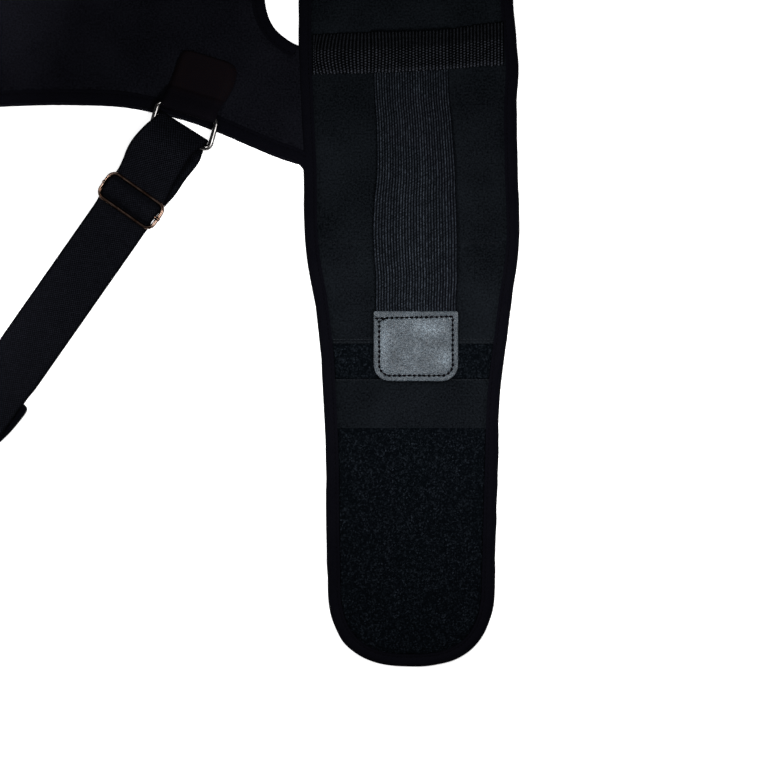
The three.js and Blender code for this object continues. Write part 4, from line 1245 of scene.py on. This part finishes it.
def buildWebbing():
    # plain weave: each face is half a thickness off the strap's line, a little more or less at every crossing
    wrap = slider["wire"] / 2 + webbing["wrapGap"] + webbing["thick"] / 2
    bar, fold = (slider["along"], slider["height"]), (webbing["foldAlong"], webbing["foldHeight"])
    wrapRows = arcRows(bar, wrap, *webbing["wrapTurn"], webbing["width"], 0)
    foldRows = arcRows(fold, webbing["foldRadius"], *webbing["foldTurn"], webbing["foldWidth"],
                       webbing["foldShift"])
    rows = np.concatenate([wrapRows, webbing["lower"], foldRows, webbing["upper"]])
    at, line, up, across, share = ribbonGrid(rows, webbing["step"], webbing["columns"])
    i, j = np.arange(len(at))[:, None], np.arange(webbing["columns"])[None, :]
    weave = webbing["weave"] * np.where((i + j) % 2, -1.0, 1.0)
    edgeGap = (0.5 - np.abs(share)) * webbing["width"]
    edge = roundRim(edgeGap, *webbing["rim"])
    offsets = (webbing["thick"] / 2 + weave) * edge, -(webbing["thick"] / 2 - weave) * edge
    ahead, height = line[:, 0, None], line[:, 1, None]
    near = 1 - rise(ahead, webbing["twistFrom"], webbing["twistTo"] - webbing["twistFrom"])
    twist = near * (webbing["twist"][0] + webbing["twist"][1] * across)
    # painted shade: darker round the ring's turn, dark on the lower run under the upper one, dark along both
    # edges
    paintedShadow = rise(ahead, webbing["foldAlong"], webbing["foldReach"])
    paintedShadow = webbing["foldPaintedShade"] + (1 - webbing["foldPaintedShade"]) * paintedShadow
    under = (height < webbing["underHeight"]) & (ahead < webbing["underTo"])
    paintedShadow = np.where(under, rise(across, *webbing["underShadowFrom"]), paintedShadow)
    tone = smoothStep(edgeGap / webbing["paintedEdgeShadow"]) * paintedShadow
    cells = np.stack(np.broadcast_arrays(j, i), axis=-1).reshape(-1, 2)
    cells = np.concatenate([cells, cells + [0, 1]])  # the back shows the crossings that the front hides
    for side, sign in sides.items():
        points, faces = slab(*(
            place(run + twist, across, level, webbing["origin"], webbing["angle"], sign)
            for run, level in ribbonFaces(line, up, offsets)))
        points[:, 2] = np.maximum(points[:, 2], webbing["lowest"])
        rng = np.random.default_rng(webbing["sparkSeed"] + sign)
        spark = np.tile((rng.uniform(webbing["dimmest"], 1, weave.shape) * tone).ravel(), 2)
        piece = addPiece(f"webbing_{side}", points, faces, webbingFinish,
                         [f"strap_webbing_{side}"], cells, spark, smooth)


buildWebbing()


# Leatherette strip round the ring's top bar

ring = {"origin": (57.03 * mm, -121.45 * mm), "z": 5.05 * mm, "angle": -17, "tilt": 10.03, "length": 40 * mm,
        "height": 20.1 * mm, "wire": 3.6 * mm, "clear": 0.1 * mm, "corner": 4 * mm}
patch = {
    "bar": 9.9 * mm, "barHeight": 6.8 * mm, "thick": 1.1 * mm, "step": 0.7 * mm, "columns": 45,
    "flatWidth": 37.5 * mm, "rimWidth": 35 * mm, "rim": (0.8 * mm, 0.4),
    "foldTurn": (70, 270, 8), "foldWidth": 37 * mm, "foldShift": -0.6 * mm,
    # along, height, width and sideways shift
    "leaf": mm * np.array([
        (37.8, 4.35, 25, -2.8), (37.1, 4.35, 31, -3.0), (35.2, 4.35, 36, -3.3), (31.5, 4.35, 38.6, -3.6),
        (25, 4.35, 39.4, -3.6), (13.6, 4.35, 38, -2.2), (10.8, 5.9, 37.5, -1.6), (7, 7.3, 37, -1.0),
        (3.6, 8.55, 37, -0.6)]),
    "under": mm * np.array([(4, 4.35, 36, -0.6), (10.4, 4.35, 33, 0)]),
    "brownFrom": 7 * mm, "brownTo": 13 * mm,  # the leaf is browner than the fold
}


def buildPatch():
    # strip of even thickness, rounded at its rim: the leaf, round the bar, and back under the leaf
    radius = ring["wire"] / 2 + ring["clear"] + patch["thick"] / 2
    fold = arcRows((0, patch["barHeight"]), radius, *patch["foldTurn"], patch["foldWidth"],
                   patch["foldShift"])
    rows = np.concatenate([patch["leaf"], fold, patch["under"]])
    at, line, up, across, share = ribbonGrid(rows, patch["step"], patch["columns"])
    edge = roundRim((0.5 - np.abs(share)) * patch["rimWidth"], *patch["rim"])
    edge = edge * roundRim(np.minimum(at, at[-1] - at)[:, None], *patch["rim"])
    off = patch["thick"] / 2 * edge
    brown = rise(line[:, 0, None], patch["brownFrom"], patch["brownTo"] - patch["brownFrom"]) + 0 * edge
    for side, sign in sides.items():
        points, faces = slab(*(
            place(-across, patch["bar"] + ahead, height, ring["origin"], ring["angle"], sign)
            for ahead, height in ribbonFaces(line, up, (off, -off))))
        piece = addPiece(f"patch_leather_{side}", points, faces, patchFinish,
                         [f"ring_patch_{side}"], shade=np.tile(brown.ravel(), 2), sharp=smooth)


buildPatch()
print("webbing and patch made")


# Wire ring and slider

wire = {"perCorner": 12, "step": 0.5 * mm, "barPoints": 12, "ballRows": 9, "ballSides": 14, "ballReach": 0.98}


def wireLoop(sizeX, sizeY, corner):
    # rounded rectangle, anticlockwise, as corner arcs joined by straight sides
    angle = np.linspace(0, np.pi / 2, wire["perCorner"])
    arcs = []
    for quarter, (signX, signY) in enumerate([(1, 1), (-1, 1), (-1, -1), (1, -1)]):
        turn = angle + quarter * np.pi / 2
        arcs.append(np.stack([signX * (sizeX / 2 - corner) + corner * np.cos(turn),
                              signY * (sizeY / 2 - corner) + corner * np.sin(turn)], axis=1))
    loop = np.concatenate(arcs)
    return evenPath(np.concatenate([loop, loop[:1]]), wire["step"])[:-1]


def ballRings(radius):
    # sphere as rings about the local Y axis, from just past one pole to just short of the other
    angle = np.linspace(-0.5, 0.5, wire["ballRows"])[:, None] * np.pi * wire["ballReach"]
    turn = 2 * np.pi * np.arange(wire["ballSides"]) / wire["ballSides"]
    ringRadius = radius * np.cos(angle)
    return points3(ringRadius * np.cos(turn), radius * np.sin(angle), ringRadius * np.sin(turn))


def buildWires():
    # ring: a loop tilted about its long axis; slider: a loop with a middle bar and a boss at each of its ends
    loop = wireLoop(ring["length"], ring["height"], ring["corner"])
    points, ringFaces = tube(wireRings(loop, True, ring["wire"] / 2), True)
    ringY, ringZ = turned(points[:, 1], points[:, 2], ring["tilt"])
    ringX, thick = points[:, 0], slider["wire"] / 2
    loop = wireLoop(slider["spread"], slider["length"], slider["corner"])
    half = np.linspace(-0.5, 0.5, wire["barPoints"]) * slider["length"]
    meshes = [tube(wireRings(loop, True, thick), True),
              tube(wireRings(np.stack([0 * half, half], axis=1), False, thick), False)]
    for end in (-1, 1):
        meshes.append(tube(ballRings(slider["boss"]) + [0, end * slider["length"] / 2, 0], False))
    points, sliderFaces = joined(meshes)
    sliderX, sliderY, sliderZ = points.T
    for side, sign in sides.items():
        spots = place(ringX, ringY, ring["z"] + ringZ, ring["origin"], ring["angle"], sign)
        addPiece(f"ring_wire_{side}", spots, ringFaces, ringFinish, [f"strap_ring_{side}"],
                 sharp=smooth)
        spots = place(slider["along"] + sliderX, sliderY, slider["height"] + sliderZ, webbing["origin"],
                      webbing["angle"], sign)
        addPiece(f"slider_wire_{side}", spots, sliderFaces, sliderFinish, [f"strap_slider_{side}"],
                 sharp=smooth)


buildWires()
print("ring and slider made")


# Hook pad under the far belt end

def buildHookPad():
    # level sheet with short hooks standing down from it in rows
    x, along = beltGrid(hookPad["from"], pastEnd, hookPad["inset"], hookPad["step"], hookPad["columns"])
    i, j = np.arange(x.shape[0])[:, None], np.arange(x.shape[1])[None, :]
    hooks = hookPad["lowest"] + hookPad["hook"] * ((i + j) % 2)
    piece = addSlab("hook_sheet_right", "hook_pad_right", x, along, hooks, hookPad["thick"], hookFinish)


buildHookPad()
print("hook pad made")
